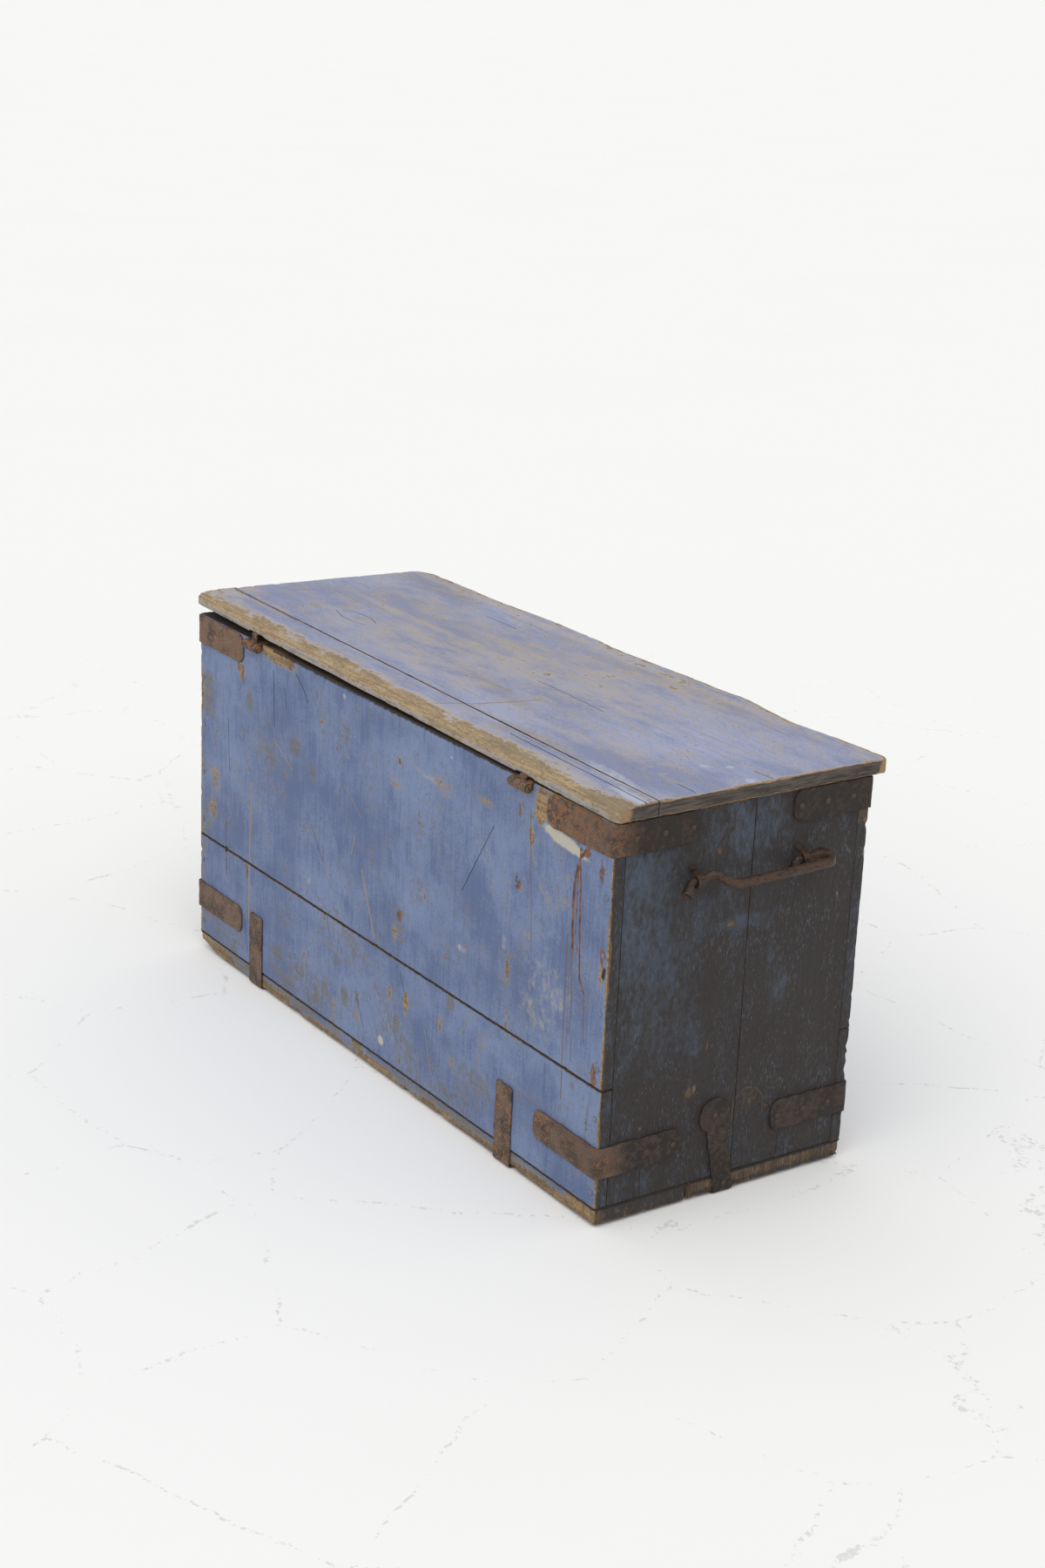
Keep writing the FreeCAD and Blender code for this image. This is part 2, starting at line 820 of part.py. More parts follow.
nodes = {}
seam_z = wall_z + lower_plank_width
lower_plank = side_plank(wall_z, seam_z - shrinkage_gap / 2)
upper_plank = side_plank(seam_z + shrinkage_gap / 2, wall_top)
nodes["back_plank_lower"] = [lower_plank]
nodes["front_plank_lower"] = [mirrored_to_front(lower_plank)]
nodes["front_plank_upper"] = [mirrored_to_front(upper_plank)]
for hinge_x in hinge_places.values():
    upper_plank = upper_plank.cut(hinge_notch(hinge_x))
nodes["back_plank_upper"] = [upper_plank]

board_gap = shrinkage_gap / 2
first_board = end_board(side_plank_thickness, end_joint_from_back - board_gap, near_staple_from_back)
second_board = end_board(
    end_joint_from_back + board_gap, chest_depth - side_plank_thickness, far_staple_from_back
)
nodes["left_end_board_back"] = [first_board]
nodes["left_end_board_front"] = [second_board]
nodes["right_end_board_front"] = [turned_to_right(first_board)]
nodes["right_end_board_back"] = [turned_to_right(second_board)]

bottom_joint_y = back_y - bottom_joint_from_back
nodes["bottom_plank_back"] = [bottom_plank(bottom_joint_y + shrinkage_gap / 2, back_y)]
nodes["bottom_plank_front"] = [bottom_plank(bottom_joint_y - shrinkage_gap / 2, front_y)]

strap_levels = {
    "top": wall_z + top_strap_foot,
    "bottom": wall_z + corner_strap_bottom_height,
}
strap_nails = []
for level, z0 in strap_levels.items():
    seats = corner_strap_seats(z0)
    back_left = punched(corner_strap(z0), seats)
    front_left = mirrored_to_front(back_left)
    nodes[level + "_corner_strap_back_left"] = [back_left]
    nodes[level + "_corner_strap_front_left"] = [front_left]
    nodes[level + "_corner_strap_front_right"] = [turned_to_right(back_left)]
    nodes[level + "_corner_strap_back_right"] = [turned_to_right(front_left)]
    for piece in nails_at(seats, strap_nail_length):
        facing = mirrored_to_front(piece)
        strap_nails += [piece, facing, turned_to_right(piece), turned_to_right(facing)]
nodes["corner_strap_nails"] = strap_nails

band_nails = []
band_places = {"left": left_x + base_band_from_left, "right": right_x - base_band_from_right}
for side, band_x in band_places.items():
    seats = base_band_seats(band_x)
    nodes["base_band_" + side] = [punched(base_band(band_x), seats)]
    band_nails += nails_at(seats, strap_nail_length)
left_end_strap = punched(end_strap(), end_strap_seats())
nodes["end_strap_left"] = [left_end_strap]
nodes["end_strap_right"] = [turned_to_right(left_end_strap)]
for piece in nails_at(end_strap_seats(), strap_nail_length):
    band_nails += [piece, turned_to_right(piece)]
nodes["base_strap_nails"] = band_nails

hinge_nails = []
for side, hinge_x in hinge_places.items():
    nodes["hinge_wall_strap_" + side] = [hinge_wall_strap(hinge_x)]
    nodes["hinge_lid_strap_" + side] = [hinge_lid_strap(hinge_x)]
    hinge_nails += nails_at(hinge_wall_seats(hinge_x), leaf_nail_length)
nodes["hinge_wall_nails"] = hinge_nails
nodes["hinge_pins"] = [hinge_pin(hinge_x) for hinge_x in hinge_places.values()]

corner_nails = []
for height in corner_nail_heights:
    seat = vec(left_x + end_board_thickness / 2, back_y, wall_z + height)
    piece = nail(seat, Y * -1, corner_nail_length)
    facing = mirrored_to_front(piece)
    corner_nails += [piece, facing, turned_to_right(piece), turned_to_right(facing)]
nodes["corner_nails"] = corner_nails

bottom_nails = []
beside_band = base_band_width / 2 + bottom_nail_beside_band
first_x = band_places["left"] + beside_band
pitch = (band_places["right"] - beside_band - first_x) / (bottom_nails_between_bands - 1)
bottom_nail_places = [left_x + bottom_nail_from_end, right_x - bottom_nail_from_end]
for step in range(bottom_nails_between_bands):
    bottom_nail_places.append(first_x + step * pitch)
for x in bottom_nail_places:
    piece = nail(vec(x, back_y - side_plank_thickness / 2, bottom_z), Z, bottom_nail_length)
    bottom_nails += [piece, mirrored_to_front(piece)]
end_seat = vec(left_x + end_board_thickness / 2, back_y - bottom_end_nail_from_side, bottom_z)
piece = nail(end_seat, Z, bottom_nail_length)
facing = mirrored_to_front(piece)
bottom_nails += [piece, facing, turned_to_right(piece), turned_to_right(facing)]
nodes["bottom_nails"] = bottom_nails

main_plank = lid_main_plank()
back_plank = lid_back_plank()
leaf_nails = []
for hinge_x in hinge_places.values():
    main_plank = main_plank.cut(leaf_recess(hinge_x))
    back_plank = back_plank.cut(leaf_recess(hinge_x))
    for piece in nails_at(leaf_seats(), leaf_nail_length):
        leaf_nails.append(on_lid(piece, hinge_x))
nodes["lid_plank_main"] = [main_plank]
nodes["lid_plank_back"] = [back_plank]
nodes["hinge_lid_nails"] = leaf_nails

batten_inset = end_board_thickness + batten_end_gap + batten_width / 2
batten_nails = []
for side, batten_x in {"left": left_x + batten_inset, "right": right_x - batten_inset}.items():
    nodes["lid_batten_" + side] = [on_lid(batten(), batten_x)]
    for piece in nails_at(batten_seats(), batten_nail_length):
        batten_nails.append(on_lid(piece, batten_x))
nodes["lid_batten_nails"] = batten_nails

left_handle = handle()
nodes["handle_left"] = [left_handle]
nodes["handle_right"] = [turned_to_right(left_handle)]
staple_places = {"back": near_staple_from_back, "front": far_staple_from_back}
facing_place = {"back": "front", "front": "back"}
for side, from_back in staple_places.items():
    eye = staple(from_back)
    nodes["handle_staple_left_" + side] = [eye]
    nodes["handle_staple_right_" + facing_place[side]] = [turned_to_right(eye)]

os.makedirs("parts", exist_ok=True)
for name, solids in nodes.items():
    shape = solids[0] if len(solids) == 1 else Part.makeCompound(solids)
    shape.exportStep("parts/" + name + ".step")
    print(name, len(solids), "valid" if shape.isValid() else "NOT VALID", round(shape.Volume / 1000, 1), "cm3")
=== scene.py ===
import math
import random

import bpy
import numpy as np
from mathutils import Matrix, Vector, noise


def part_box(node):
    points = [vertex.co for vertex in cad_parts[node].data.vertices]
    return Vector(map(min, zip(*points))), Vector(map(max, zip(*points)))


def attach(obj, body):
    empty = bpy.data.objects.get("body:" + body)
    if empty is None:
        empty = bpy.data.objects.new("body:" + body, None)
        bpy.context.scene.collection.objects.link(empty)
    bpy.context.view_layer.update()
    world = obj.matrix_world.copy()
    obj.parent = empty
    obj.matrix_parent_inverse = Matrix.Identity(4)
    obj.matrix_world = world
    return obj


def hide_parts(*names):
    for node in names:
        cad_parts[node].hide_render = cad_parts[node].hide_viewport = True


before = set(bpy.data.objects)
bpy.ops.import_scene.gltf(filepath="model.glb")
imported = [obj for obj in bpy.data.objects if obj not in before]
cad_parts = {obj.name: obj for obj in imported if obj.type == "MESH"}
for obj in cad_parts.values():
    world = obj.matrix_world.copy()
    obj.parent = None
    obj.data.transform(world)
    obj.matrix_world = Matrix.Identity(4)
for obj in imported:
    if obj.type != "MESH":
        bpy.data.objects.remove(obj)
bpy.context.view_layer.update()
print("frame loaded:", len(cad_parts), "nodes")

# Sizes below are millimetres, Blender's own are metres


def boxOf(node):
    # a CAD node's low and high corner in mm
    low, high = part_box(node)
    return [1000 * v for v in low], [1000 * v for v in high]


def linear(hexColour):
    # sRGB hex to the linear colour that the shaders work in
    channels = [int(hexColour[i : i + 2], 16) / 255 for i in (1, 3, 5)]
    return [c / 12.92 if c <= 0.04045 else ((c + 0.055) / 1.055) ** 2.4 for c in channels] + [1.0]


def setInputs(tree, node, inputs):
    # a node or socket is linked, a hex colour turned to linear, another value set
    for name, value in inputs.items():
        if isinstance(value, bpy.types.Node):
            value = value.outputs[2 if value.bl_idname == "ShaderNodeMix" else 0]
        if isinstance(value, bpy.types.NodeSocket):
            tree.links.new(value, node.inputs[name])
        else:
            node.inputs[name].default_value = linear(value) if isinstance(value, str) else value


def addNode(tree, kind, inputs=None, **settings):
    # one node with its settings, values and links
    node = tree.nodes.new("ShaderNode" + kind)
    for name, value in settings.items():
        setattr(node, name, value)
    setInputs(tree, node, inputs or {})
    return node


def weighted(tree, start, parts):
    # start plus each value times its weight
    total = start
    for value, weight in parts:
        total = addNode(tree, "Math", {0: value, 1: weight, 2: total}, operation="MULTIPLY_ADD")
    return total


def newMaterial(name, sizes):
    # a node material with one noise for each size of lump, in mm along x, y and z
    material = bpy.data.materials.new(name)
    material.use_nodes = True
    tree = material.node_tree
    place = addNode(tree, "TexCoord").outputs["Object"]
    lumps = {}
    for number, (part, size) in enumerate(sizes.items()):
        scale = [1000 / s for s in size]
        shift = [number * 3.7, number * 1.9, number * 2.3]
        spread = addNode(tree, "Mapping", {"Vector": place, "Scale": scale, "Location": shift})
        noisy = {"Vector": spread, "Scale": 1.0, "Detail": 6.0, "Roughness": 0.6}
        lumps[part] = addNode(tree, "TexNoise", noisy)
    return material, tree, lumps


# a map range with this is a soft threshold: input 1 is where it starts, 2 where it is full, 4 its most
softStep = {"interpolation_type": "SMOOTHSTEP"}


def stack(tree, below, layers):
    # lays each colour over the ones before it, by a factor or by a value and its threshold
    for factor, *limits, colour in layers:
        if limits:
            threshold = dict(zip((0, 1, 2, 4), (factor, *limits)))
            factor = addNode(tree, "MapRange", threshold, **softStep)
        below = addNode(tree, "Mix", {0: factor, 6: below, 7: colour}, data_type="RGBA")
    return below


# Materials

patchKinds = ("bare", "rust", "grime", "pale", "clean")
lineKinds = ("crackAndShadow", "streak", "drip", "scratch")


def paintedSoftwood(name, look):
    # thin chalky distemper paint brushed on sawn pine: matt, streaked, rubbed through to the wood
    material, tree, lumps = newMaterial(name, look["sizes"])
    marks, lines = {}, {}
    for kind in patchKinds:
        marks[kind] = addNode(tree, "Attribute", attribute_name=kind).outputs["Fac"]
    for kind in lineKinds:
        across = addNode(tree, "Attribute", attribute_name=kind + "At").outputs["Fac"]
        there = addNode(tree, "Attribute", attribute_name=kind + "On").outputs["Fac"]
        ragged = weighted(tree, -0.8, [(across, 1.0), (lumps["fine"], 1.6)])
        away = addNode(tree, "Math", {0: ragged}, operation="ABSOLUTE")
        body = addNode(tree, "MapRange", {0: away, 1: 1.3, 2: 0.6}, **softStep)
        patchy = weighted(tree, -0.45, [(there, 1.0), (lumps["mid"], 0.9)])
        broken = addNode(tree, "MapRange", {0: patchy, 1: 0.4, 2: 0.75}, **softStep)
        lines[kind] = addNode(tree, "Math", {0: body, 1: broken}, operation="MULTIPLY")

    # most starts take off half of the noises' weights, so that the noises give and take alike
    tone = weighted(
        tree, -0.95, [(lumps["broad"], 1.1), (lumps["mid"], 0.6), (lumps["brush"], 0.6), (lumps["grit"], 0.6)]
    )
    paint = stack(tree, look["paintDeep"], [(tone, 0.3, 0.7, look["paintPale"])])
    bloom = weighted(tree, look["bloom"] - 0.8, [(lumps["mid"], 1.0), (lumps["fine"], 0.6)])
    chalky = weighted(tree, -0.65, [(marks["pale"], 1.0), (lumps["fine"], 0.9), (lumps["mid"], 0.4)])
    dirt = weighted(
        tree,
        look["grime"] - 1.35 - look["dirtBrush"] / 2,
        [
            (marks["grime"], 0.75),
            (marks["clean"], -0.62),
            (lumps["mid"], 1.3),
            (lumps["brush"], look["dirtBrush"]),
            (lumps["fine"], 1.4),
        ],
    )
    dirtFrom, dirtTo = look["dirtAt"] - look["dirtBlur"], look["dirtAt"] + look["dirtBlur"]
    specks = weighted(tree, -0.175, [(lumps["grit"], 1.0), (lumps["mid"], 0.35)])
    worn = weighted(
        tree,
        look["wear"] - 0.55 - look["wearGrain"] / 2 - look["wearLumps"] / 2,
        [
            (marks["bare"], 1.0),
            (marks["grime"], 0.27),
            (lumps["fine"], 1.1),
            (lumps["grain"], look["wearGrain"]),
            (lumps["mid"], look["wearLumps"]),
        ],
    )
    rubbedFrom, rubbedTo = look["rubbedAt"] - look["rubbedBlur"], look["rubbedAt"] + look["rubbedBlur"]
    bare = addNode(tree, "MapRange", {0: worn, 1: 0.46, 2: 0.6}, **softStep)
    soiled = weighted(tree, 0.0, [(lumps["mid"], 1.0), (lumps["fine"], 1.0), (marks["grime"], 0.25)])
    rusty = weighted(tree, -1.3, [(marks["rust"], 1.0), (lumps["fine"], 2.6)])

    wood = stack(
        tree,
        look["woodDark"],
        [
            (lumps["grain"], 0.36, 0.62, look["woodLight"]),
            (soiled, 0.98, 1.2, 0.55, look["woodSoil"]),
            (lumps["grit"], 0.54, 0.64, look["pores"], look["woodPore"]),
        ],
    )
    rust = stack(tree, look["rustDark"], [(lumps["fine"], 0.4, 0.62, look["rustPale"])])
    colour = stack(
        tree,
        paint,
        [
            (lumps["brush"], 0.5, 0.72, look["strokes"], look["strokeColour"]),
            (bloom, 0.35, 0.95, 0.8, look["bloomColour"]),
            (dirt, dirtFrom, dirtTo, look["mostGrime"], look["grimeColour"]),
            (specks, 0.6, 0.68, look["specks"], look["speckColour"]),
            # pale flecks on the grit: painted glints, light caught by the relief
            (specks, 0.42, 0.35, look["paintedGlints"], look["paintedGlintColour"]),
            (worn, rubbedFrom, rubbedTo, look["rubbed"], look["rubbedColour"]),
            (chalky, 0.22, 0.85, 0.9, look["chalkColour"]),
            (bare, wood),
            (rusty, 0.52, 0.7, 0.88, rust),
            (lines["drip"], look["dripColour"]),
            (lines["streak"], rust),
            (lines["scratch"], look["scratchColour"]),
            # dark lines: cracks, and painted shadow lines where a gap is shaded
            (lines["crackAndShadow"], look["crackAndShadowColour"]),
        ],
    )
    bareGrain = addNode(tree, "Math", {0: bare, 1: lumps["grain"]}, operation="MULTIPLY")
    height = weighted(
        tree,
        0.0,
        [
            (lumps["brush"], look["brushRelief"]),
            (lumps["grit"], look["gritRelief"]),
            (lumps["fine"], 0.45),
            (bareGrain, 0.9),
            (bare, -0.55),
            (lines["crackAndShadow"], -1.0),
            (lines["scratch"], -0.3),
        ],
    )
    relief = {"Strength": look["relief"], "Distance": look["reliefDepth"], "Height": height}
    surface = {
        "Base Color": colour,
        "Normal": addNode(tree, "Bump", relief),
        "Roughness": weighted(tree, look["roughness"], [(lumps["fine"], 0.2), (bare, 0.06)]),
        "Specular IOR Level": look["specular"],
    }
    setInputs(tree, tree.nodes["Principled BSDF"], surface)
    return material


longSideLook = {
    "sizes": {
        "broad": (170, 170, 120),
        "mid": (34, 34, 42),
        "fine": (7, 7, 9),
        "grit": (2.6, 2.6, 3.4),  # real paint grit is under 1 mm, coarser here so that it shows
        "brush": (5, 5, 60),
        "grain": (110, 4, 4),
    },
    # the paint, the brush's streaks in it and a chalky haze on it
    "paintDeep": "#58678A", "paintPale": "#7685A6", "strokes": 0.35, "strokeColour": "#56627F",
    "bloom": -0.08, "bloomColour": "#A3ABC2", "chalkColour": "#BAB4A3",
    # grime: its share, where and how softly it begins, how far it follows the brush, its most
    "grime": 0.22, "dirtAt": 0.575, "dirtBlur": 0.275, "dirtBrush": 0.9, "mostGrime": 0.74,
    "grimeColour": "#625C50",
    "specks": 0.7, "speckColour": "#44413E", "paintedGlints": 0.0, "paintedGlintColour": "#7D8490",  # dark and pale spots
    # paint rubbed thin, paint worn through and the wood under it
    "rubbed": 0.34, "rubbedAt": 0.22, "rubbedBlur": 0.18, "rubbedColour": "#8E867C",
    "wear": 0.0, "wearLumps": 0.4, "wearGrain": 0.9, "pores": 0.75,
    "woodDark": "#7A6248", "woodLight": "#A1865F", "woodSoil": "#5D5142", "woodPore": "#46372A",
    # scratches, rust, runs of rusty water, and cracks with painted shadow lines
    "scratchColour": "#94846A", "rustDark": "#4E3426", "rustPale": "#80593C",
    "dripColour": "#6B5542", "crackAndShadowColour": "#2A221D",
    "brushRelief": 0.35, "gritRelief": 0.6, "relief": 0.75, "reliefDepth": 0.0015,
    "roughness": 0.62, "specular": 0.35,
}

lidLook = dict(
    longSideLook,
    sizes={
        "broad": (240, 120, 120),
        "mid": (60, 26, 30),
        "fine": (9, 6, 6),
        "grit": (5.0, 2.2, 2.2),
        "brush": (110, 3, 3),
        "grain": (130, 4, 4),
    },
    paintDeep="#8189A8", paintPale="#A0A6C2", strokes=0.5, strokeColour="#787A8C",
    bloom=0.0, bloomColour="#B4B6C4", chalkColour="#B3B7C9",
    grime=0.32, dirtBrush=1.3, mostGrime=0.6, grimeColour="#76706C",
    rubbed=0.8, rubbedBlur=0.42, rubbedColour="#B4A99F",
    wear=-0.08, wearLumps=1.3, wearGrain=0.3, pores=0.55,
    woodDark="#8E775A", woodLight="#AF9976", woodSoil="#7B7162", woodPore="#5E4D3A",
    brushRelief=0.8,
)
# the lid's worn rim and its dirty upright face
lidEdgeLook = dict(
    lidLook,
    sizes={
        "broad": (120, 60, 60),
        "mid": (44, 16, 16),
        "fine": (9, 5, 5),
        "grit": (3.0, 2.2, 2.2),
        "brush": (90, 5, 5),
        "grain": (60, 2.4, 2.4),  # year rings are about 1.5 mm apart, a little coarser here
    },
    wearGrain=0.9, wear=-0.03,
)
lidUprightLook = dict(
    lidEdgeLook, paintDeep="#59627A", paintPale="#717B93", grime=0.5, grimeColour="#4C4842", mostGrime=0.85
)

endLook = dict(
    longSideLook,
    sizes={
        "broad": (150, 120, 170),
        "mid": (30, 26, 60),
        "fine": (6, 6, 11),
        "grit": (1.9, 1.9, 6.0),
        "brush": (3, 3, 34),
        "grain": (4, 4, 110),
    },
    paintDeep="#3D4551", paintPale="#5A6678", strokeColour="#353B44", bloom=-0.3,
    grime=0.84, dirtBlur=0.4, mostGrime=0.93, grimeColour="#352D29",
    # the end's pale flecks are painted glints on its grit
    speckColour="#262220", paintedGlints=0.6, paintedGlintColour="#646C78",
    rubbed=0.25, rubbedColour="#4E4339", wear=-0.04, scratchColour="#5A4A3D",
    woodDark="#564636", woodLight="#866E52", woodSoil="#4A3F34", woodPore="#332920",
    brushRelief=0.9, gritRelief=1.6, relief=1.0, reliefDepth=0.003, roughness=0.5, specular=0.36,
)

longSidePaint = paintedSoftwood("blue_distemper_on_pine_side", longSideLook)
lidPaint = paintedSoftwood("blue_distemper_on_pine_lid", lidLook)
lidEdgePaint = paintedSoftwood("blue_distemper_on_pine_lid_edge", lidEdgeLook)
lidUprightPaint = paintedSoftwood("dirty_distemper_on_pine_lid_upright", lidUprightLook)
endPaint = paintedSoftwood("sooty_distemper_on_pine_end", endLook)


def bareSoftwood(name, look):
    # sawn pine that was never painted: brown with age, soft rings, saw marks and stains
    material, tree, lumps = newMaterial(name, look["sizes"])
    rubbed = addNode(tree, "Attribute", attribute_name="bare").outputs["Fac"]
    worn = weighted(tree, -0.45, [(rubbed, 1.0), (lumps["grit"], 0.9)])
    wood = stack(
        tree,
        look["dark"],
        [
            (lumps["grain"], 0.36, 0.64, look["light"]),
            (lumps["broad"], 0.5, 0.72, 0.5, look["stain"]),
            (lumps["grit"], 0.58, 0.68, 0.5, look["pore"]),
            (worn, 0.62, 0.9, look["edge"]),
        ],
    )
    height = weighted(tree, 0.0, [(lumps["grain"], 0.8), (lumps["grit"], 0.3)])
    bump = addNode(tree, "Bump", {"Strength": 0.5, "Distance": 0.001, "Height": height})
    surface = {"Base Color": wood, "Normal": bump, "Roughness": 0.8, "Specular IOR Level": 0.3}
    setInputs(tree, tree.nodes["Principled BSDF"], surface)
    return material


insideLook = {
    "sizes": {"grain": (140, 5, 5), "broad": (90, 60, 60), "grit": (9, 1.6, 1.6)},
    "dark": "#68553F", "light": "#927C5F", "stain": "#5A4735", "pore": "#3F3023", "edge": "#A58C6B",
}
insideWood = bareSoftwood("aged_bare_pine_along", insideLook)
uprightSizes = {"grain": (5, 5, 140), "broad": (60, 60, 90), "grit": (1.6, 1.6, 9)}
insideUpright = bareSoftwood("aged_bare_pine_upright", dict(insideLook, sizes=uprightSizes))
# inside the joints and along the rims the wood is nearly black, with dirt, and on the walls' tops with
# painted shade for the gap under the lid
jointWoodDirtAndShade = bareSoftwood(
    "pine_in_joints_dirt_and_painted_shade",
    dict(insideLook, dark="#2E2620", light="#4A3D32", stain="#2A221C", pore="#1E1814", edge="#5F4E3C"),
)
# end grain of the lid: grey-brown with handling, saw marks lie level
endGrain = bareSoftwood(
    "weathered_pine_end_grain",
    {
        "sizes": {"grain": (4, 36, 2.6), "broad": (40, 40, 20), "grit": (2.2, 5, 1.6)},
        "dark": "#3D3632", "light": "#5E554F", "stain": "#3A3431", "pore": "#2C2622", "edge": "#94795A",
    },
)


# where the ends' soot lies on iron, mm: out from the middle, across from a line and up
soot = {"endFrom": 473, "endFull": 474, "line": -20, "from": 231, "full": 191, "low": 80, "high": 320}


def forgedIron(name, look):
    # wrought iron hammered by hand, rusted brown and pitted, black with soot on the ends
    material, tree, lumps = newMaterial(name, look["sizes"])
    metres = {part: place / 1000 for part, place in soot.items()}
    place = addNode(tree, "TexCoord").outputs["Object"]
    x, y, z = addNode(tree, "SeparateXYZ", {"Vector": place}).outputs
    outward = addNode(tree, "Math", {0: x}, operation="ABSOLUTE")
    ends = {0: outward, 1: metres["endFrom"], 2: metres["endFull"]}
    onEnd = addNode(tree, "MapRange", ends, **softStep)
    fromLine = addNode(tree, "Math", {0: y, 1: metres["line"]}, operation="SUBTRACT")
    across = addNode(tree, "Math", {0: fromLine}, operation="ABSOLUTE")
    blurred = weighted(tree, across, [(lumps["patch"], 0.06)])
    middle = {0: blurred, 1: metres["from"], 2: metres["full"], 4: look["soot"]}
    inward = addNode(tree, "MapRange", middle, **softStep)
    high = addNode(tree, "MapRange", {0: z, 1: metres["low"], 2: metres["high"], 4: 0.55}, **softStep)
    thick = weighted(tree, -1.4, [(high, 0.5), (lumps["crust"], 2.2), (lumps["patch"], 2.2)])
    sooty = addNode(tree, "Math", {0: onEnd, 1: inward}, operation="MULTIPLY")
    sooty = addNode(tree, "Math", {0: sooty, 1: thick}, operation="MULTIPLY", use_clamp=True)
    freshRust = weighted(tree, 0.0, [(lumps["crust"], 1.0), (z, 0.16), (x, -0.05)])
    colour = stack(
        tree,
        look["dark"],
        [
            (lumps["patch"], 0.38, 0.6, look["brown"]),
            (freshRust, 0.55, 0.66, look["orangeShare"], look["orange"]),
            (lumps["pit"], 0.53, 0.66, 0.6, look["pale"]),
            (x, -0.34, -0.47, look["handled"], look["dark"]),
            (sooty, look["sootColour"]),
            (lumps["pit"], 0.44, 0.34, 0.6, look["pitColour"]),
        ],
    )
    height = weighted(tree, 0.0, [(lumps["patch"], 0.7), (lumps["crust"], 0.8), (lumps["pit"], 0.6)])
    relief = {"Strength": look["relief"], "Distance": 0.002, "Height": height}
    surface = {
        "Base Color": colour,
        "Normal": addNode(tree, "Bump", relief),
        "Roughness": weighted(tree, look["roughness"], [(lumps["crust"], 0.3)]),
        "Metallic": look["metallic"],
    }
    setInputs(tree, tree.nodes["Principled BSDF"], surface)
    return material


strapLook = {
    "sizes": {"patch": (26, 26, 26), "crust": (7, 7, 7), "pit": (2.0, 2.0, 2.0)},
    "dark": "#43342B", "brown": "#6B5546", "orange": "#925F38", "orangeShare": 0.75,
    "pale": "#98866F", "pitColour": "#2E2420",
    "handled": 0.4, "soot": 1.0, "sootColour": "#261E1A",
    "relief": 1.0, "roughness": 0.5, "metallic": 0.25,
}
strapIron = forgedIron("rusted_wrought_iron_strap", strapLook)
# nail heads are rubbed paler than the straps that they hold
nailIron = forgedIron(
    "rubbed_wrought_iron_nail", dict(strapLook, soot=0.5, sootColour="#332C29", orangeShare=0.4)
)
rodIron = forgedIron(
    "rusted_wrought_iron_rod",
    dict(
        strapLook,
        sizes={"patch": (12, 30, 12), "crust": (3, 7, 3), "pit": (1.4, 1.4, 1.4)},
        dark="#231C19", brown="#47372F", orange="#6E4A2E", orangeShare=0.5, pale="#6E5D4D",
        handled=0.0, soot=0.2, relief=0.7, roughness=0.26, metallic=0.5,
    ),
)
# the corner nails were painted over with the boards, rust has come through in places
paintedIron = forgedIron(
    "blue_distemper_on_iron_nail",
    dict(
        strapLook,
        sizes={"patch": (9, 9, 30), "crust": (6, 6, 14), "pit": (2.0, 2.0, 2.0)},
        dark="#5A6378", brown="#6F7991", orange="#7C5A42", pale="#8D92A0", pitColour="#4B4A50",
        handled=0.0, soot=0.6, metallic=0.0,
    ),
)
print("materials made")


# Boards: each plank is a fine skin over its CAD block, its edges rubbed round and chipped


def gridLines(low, high, step, extra=()):
    # close together beside both ends, even steps between
    span = high - low
    near = [d for d in (0, 0.7, 1.6, 3, 5, 8, 12) if d < span / 2 - 0.3]
    count = max(1, round((span - 2 * near[-1]) / step))
    places = [low + d for d in near] + [high - d for d in near] + list(extra)
    places += [low + near[-1] + (span - 2 * near[-1]) * i / count for i in range(count + 1)]
    return sorted({round(p, 3) for p in places})


def gridSkin(xs, ys, zs):
    # the outside of a block cut by grid lines: points, quads and the side of each quad
    lines = [np.array(xs), np.array(ys), np.array(zs)]
    count = [len(line) for line in lines]
    quads, sides = [], []
    for axis, letter in enumerate("xyz"):
        a, b = (axis + 1) % 3, (axis + 2) % 3
        for end, sign in ((0, "-"), (count[axis] - 1, "+")):
            ia, ib = np.meshgrid(np.arange(count[a] - 1), np.arange(count[b] - 1), indexing="ij")
            corners = []
            for da, db in ((0, 0), (1, 0), (1, 1), (0, 1)):
                index = [None, None, None]
                index[axis] = np.full(ia.shape, end)
                index[a] = ia + da
                index[b] = ib + db
                corners.append((index[0] * count[1] + index[1]) * count[2] + index[2])
            quad = np.stack(corners, -1).reshape(-1, 4)
            quads.append(quad if sign == "+" else quad[:, ::-1])
            sides += [letter + sign] * len(quad)
    used, quads = np.unique(np.concatenate(quads), return_inverse=True)
    z = used % count[2]
    y = used // count[2] % count[1]
    x = used // (count[1] * count[2])
    points = np.stack([lines[0][x], lines[1][y], lines[2][z]], -1).astype(float)
    return points, quads.reshape(-1, 4), sides


def fade(distance, reach):
    # 1 at no distance, 0 from the reach on
    return np.clip(1 - distance / reach, 0, 1)


def lumpsAt(points, size, seed):
    # smooth noise from about -1 to 1, its lumps of that size
    scaled = points / np.array(size, float) + seed * 7.31
    return np.array([noise.noise(p) for p in scaled.tolist()])


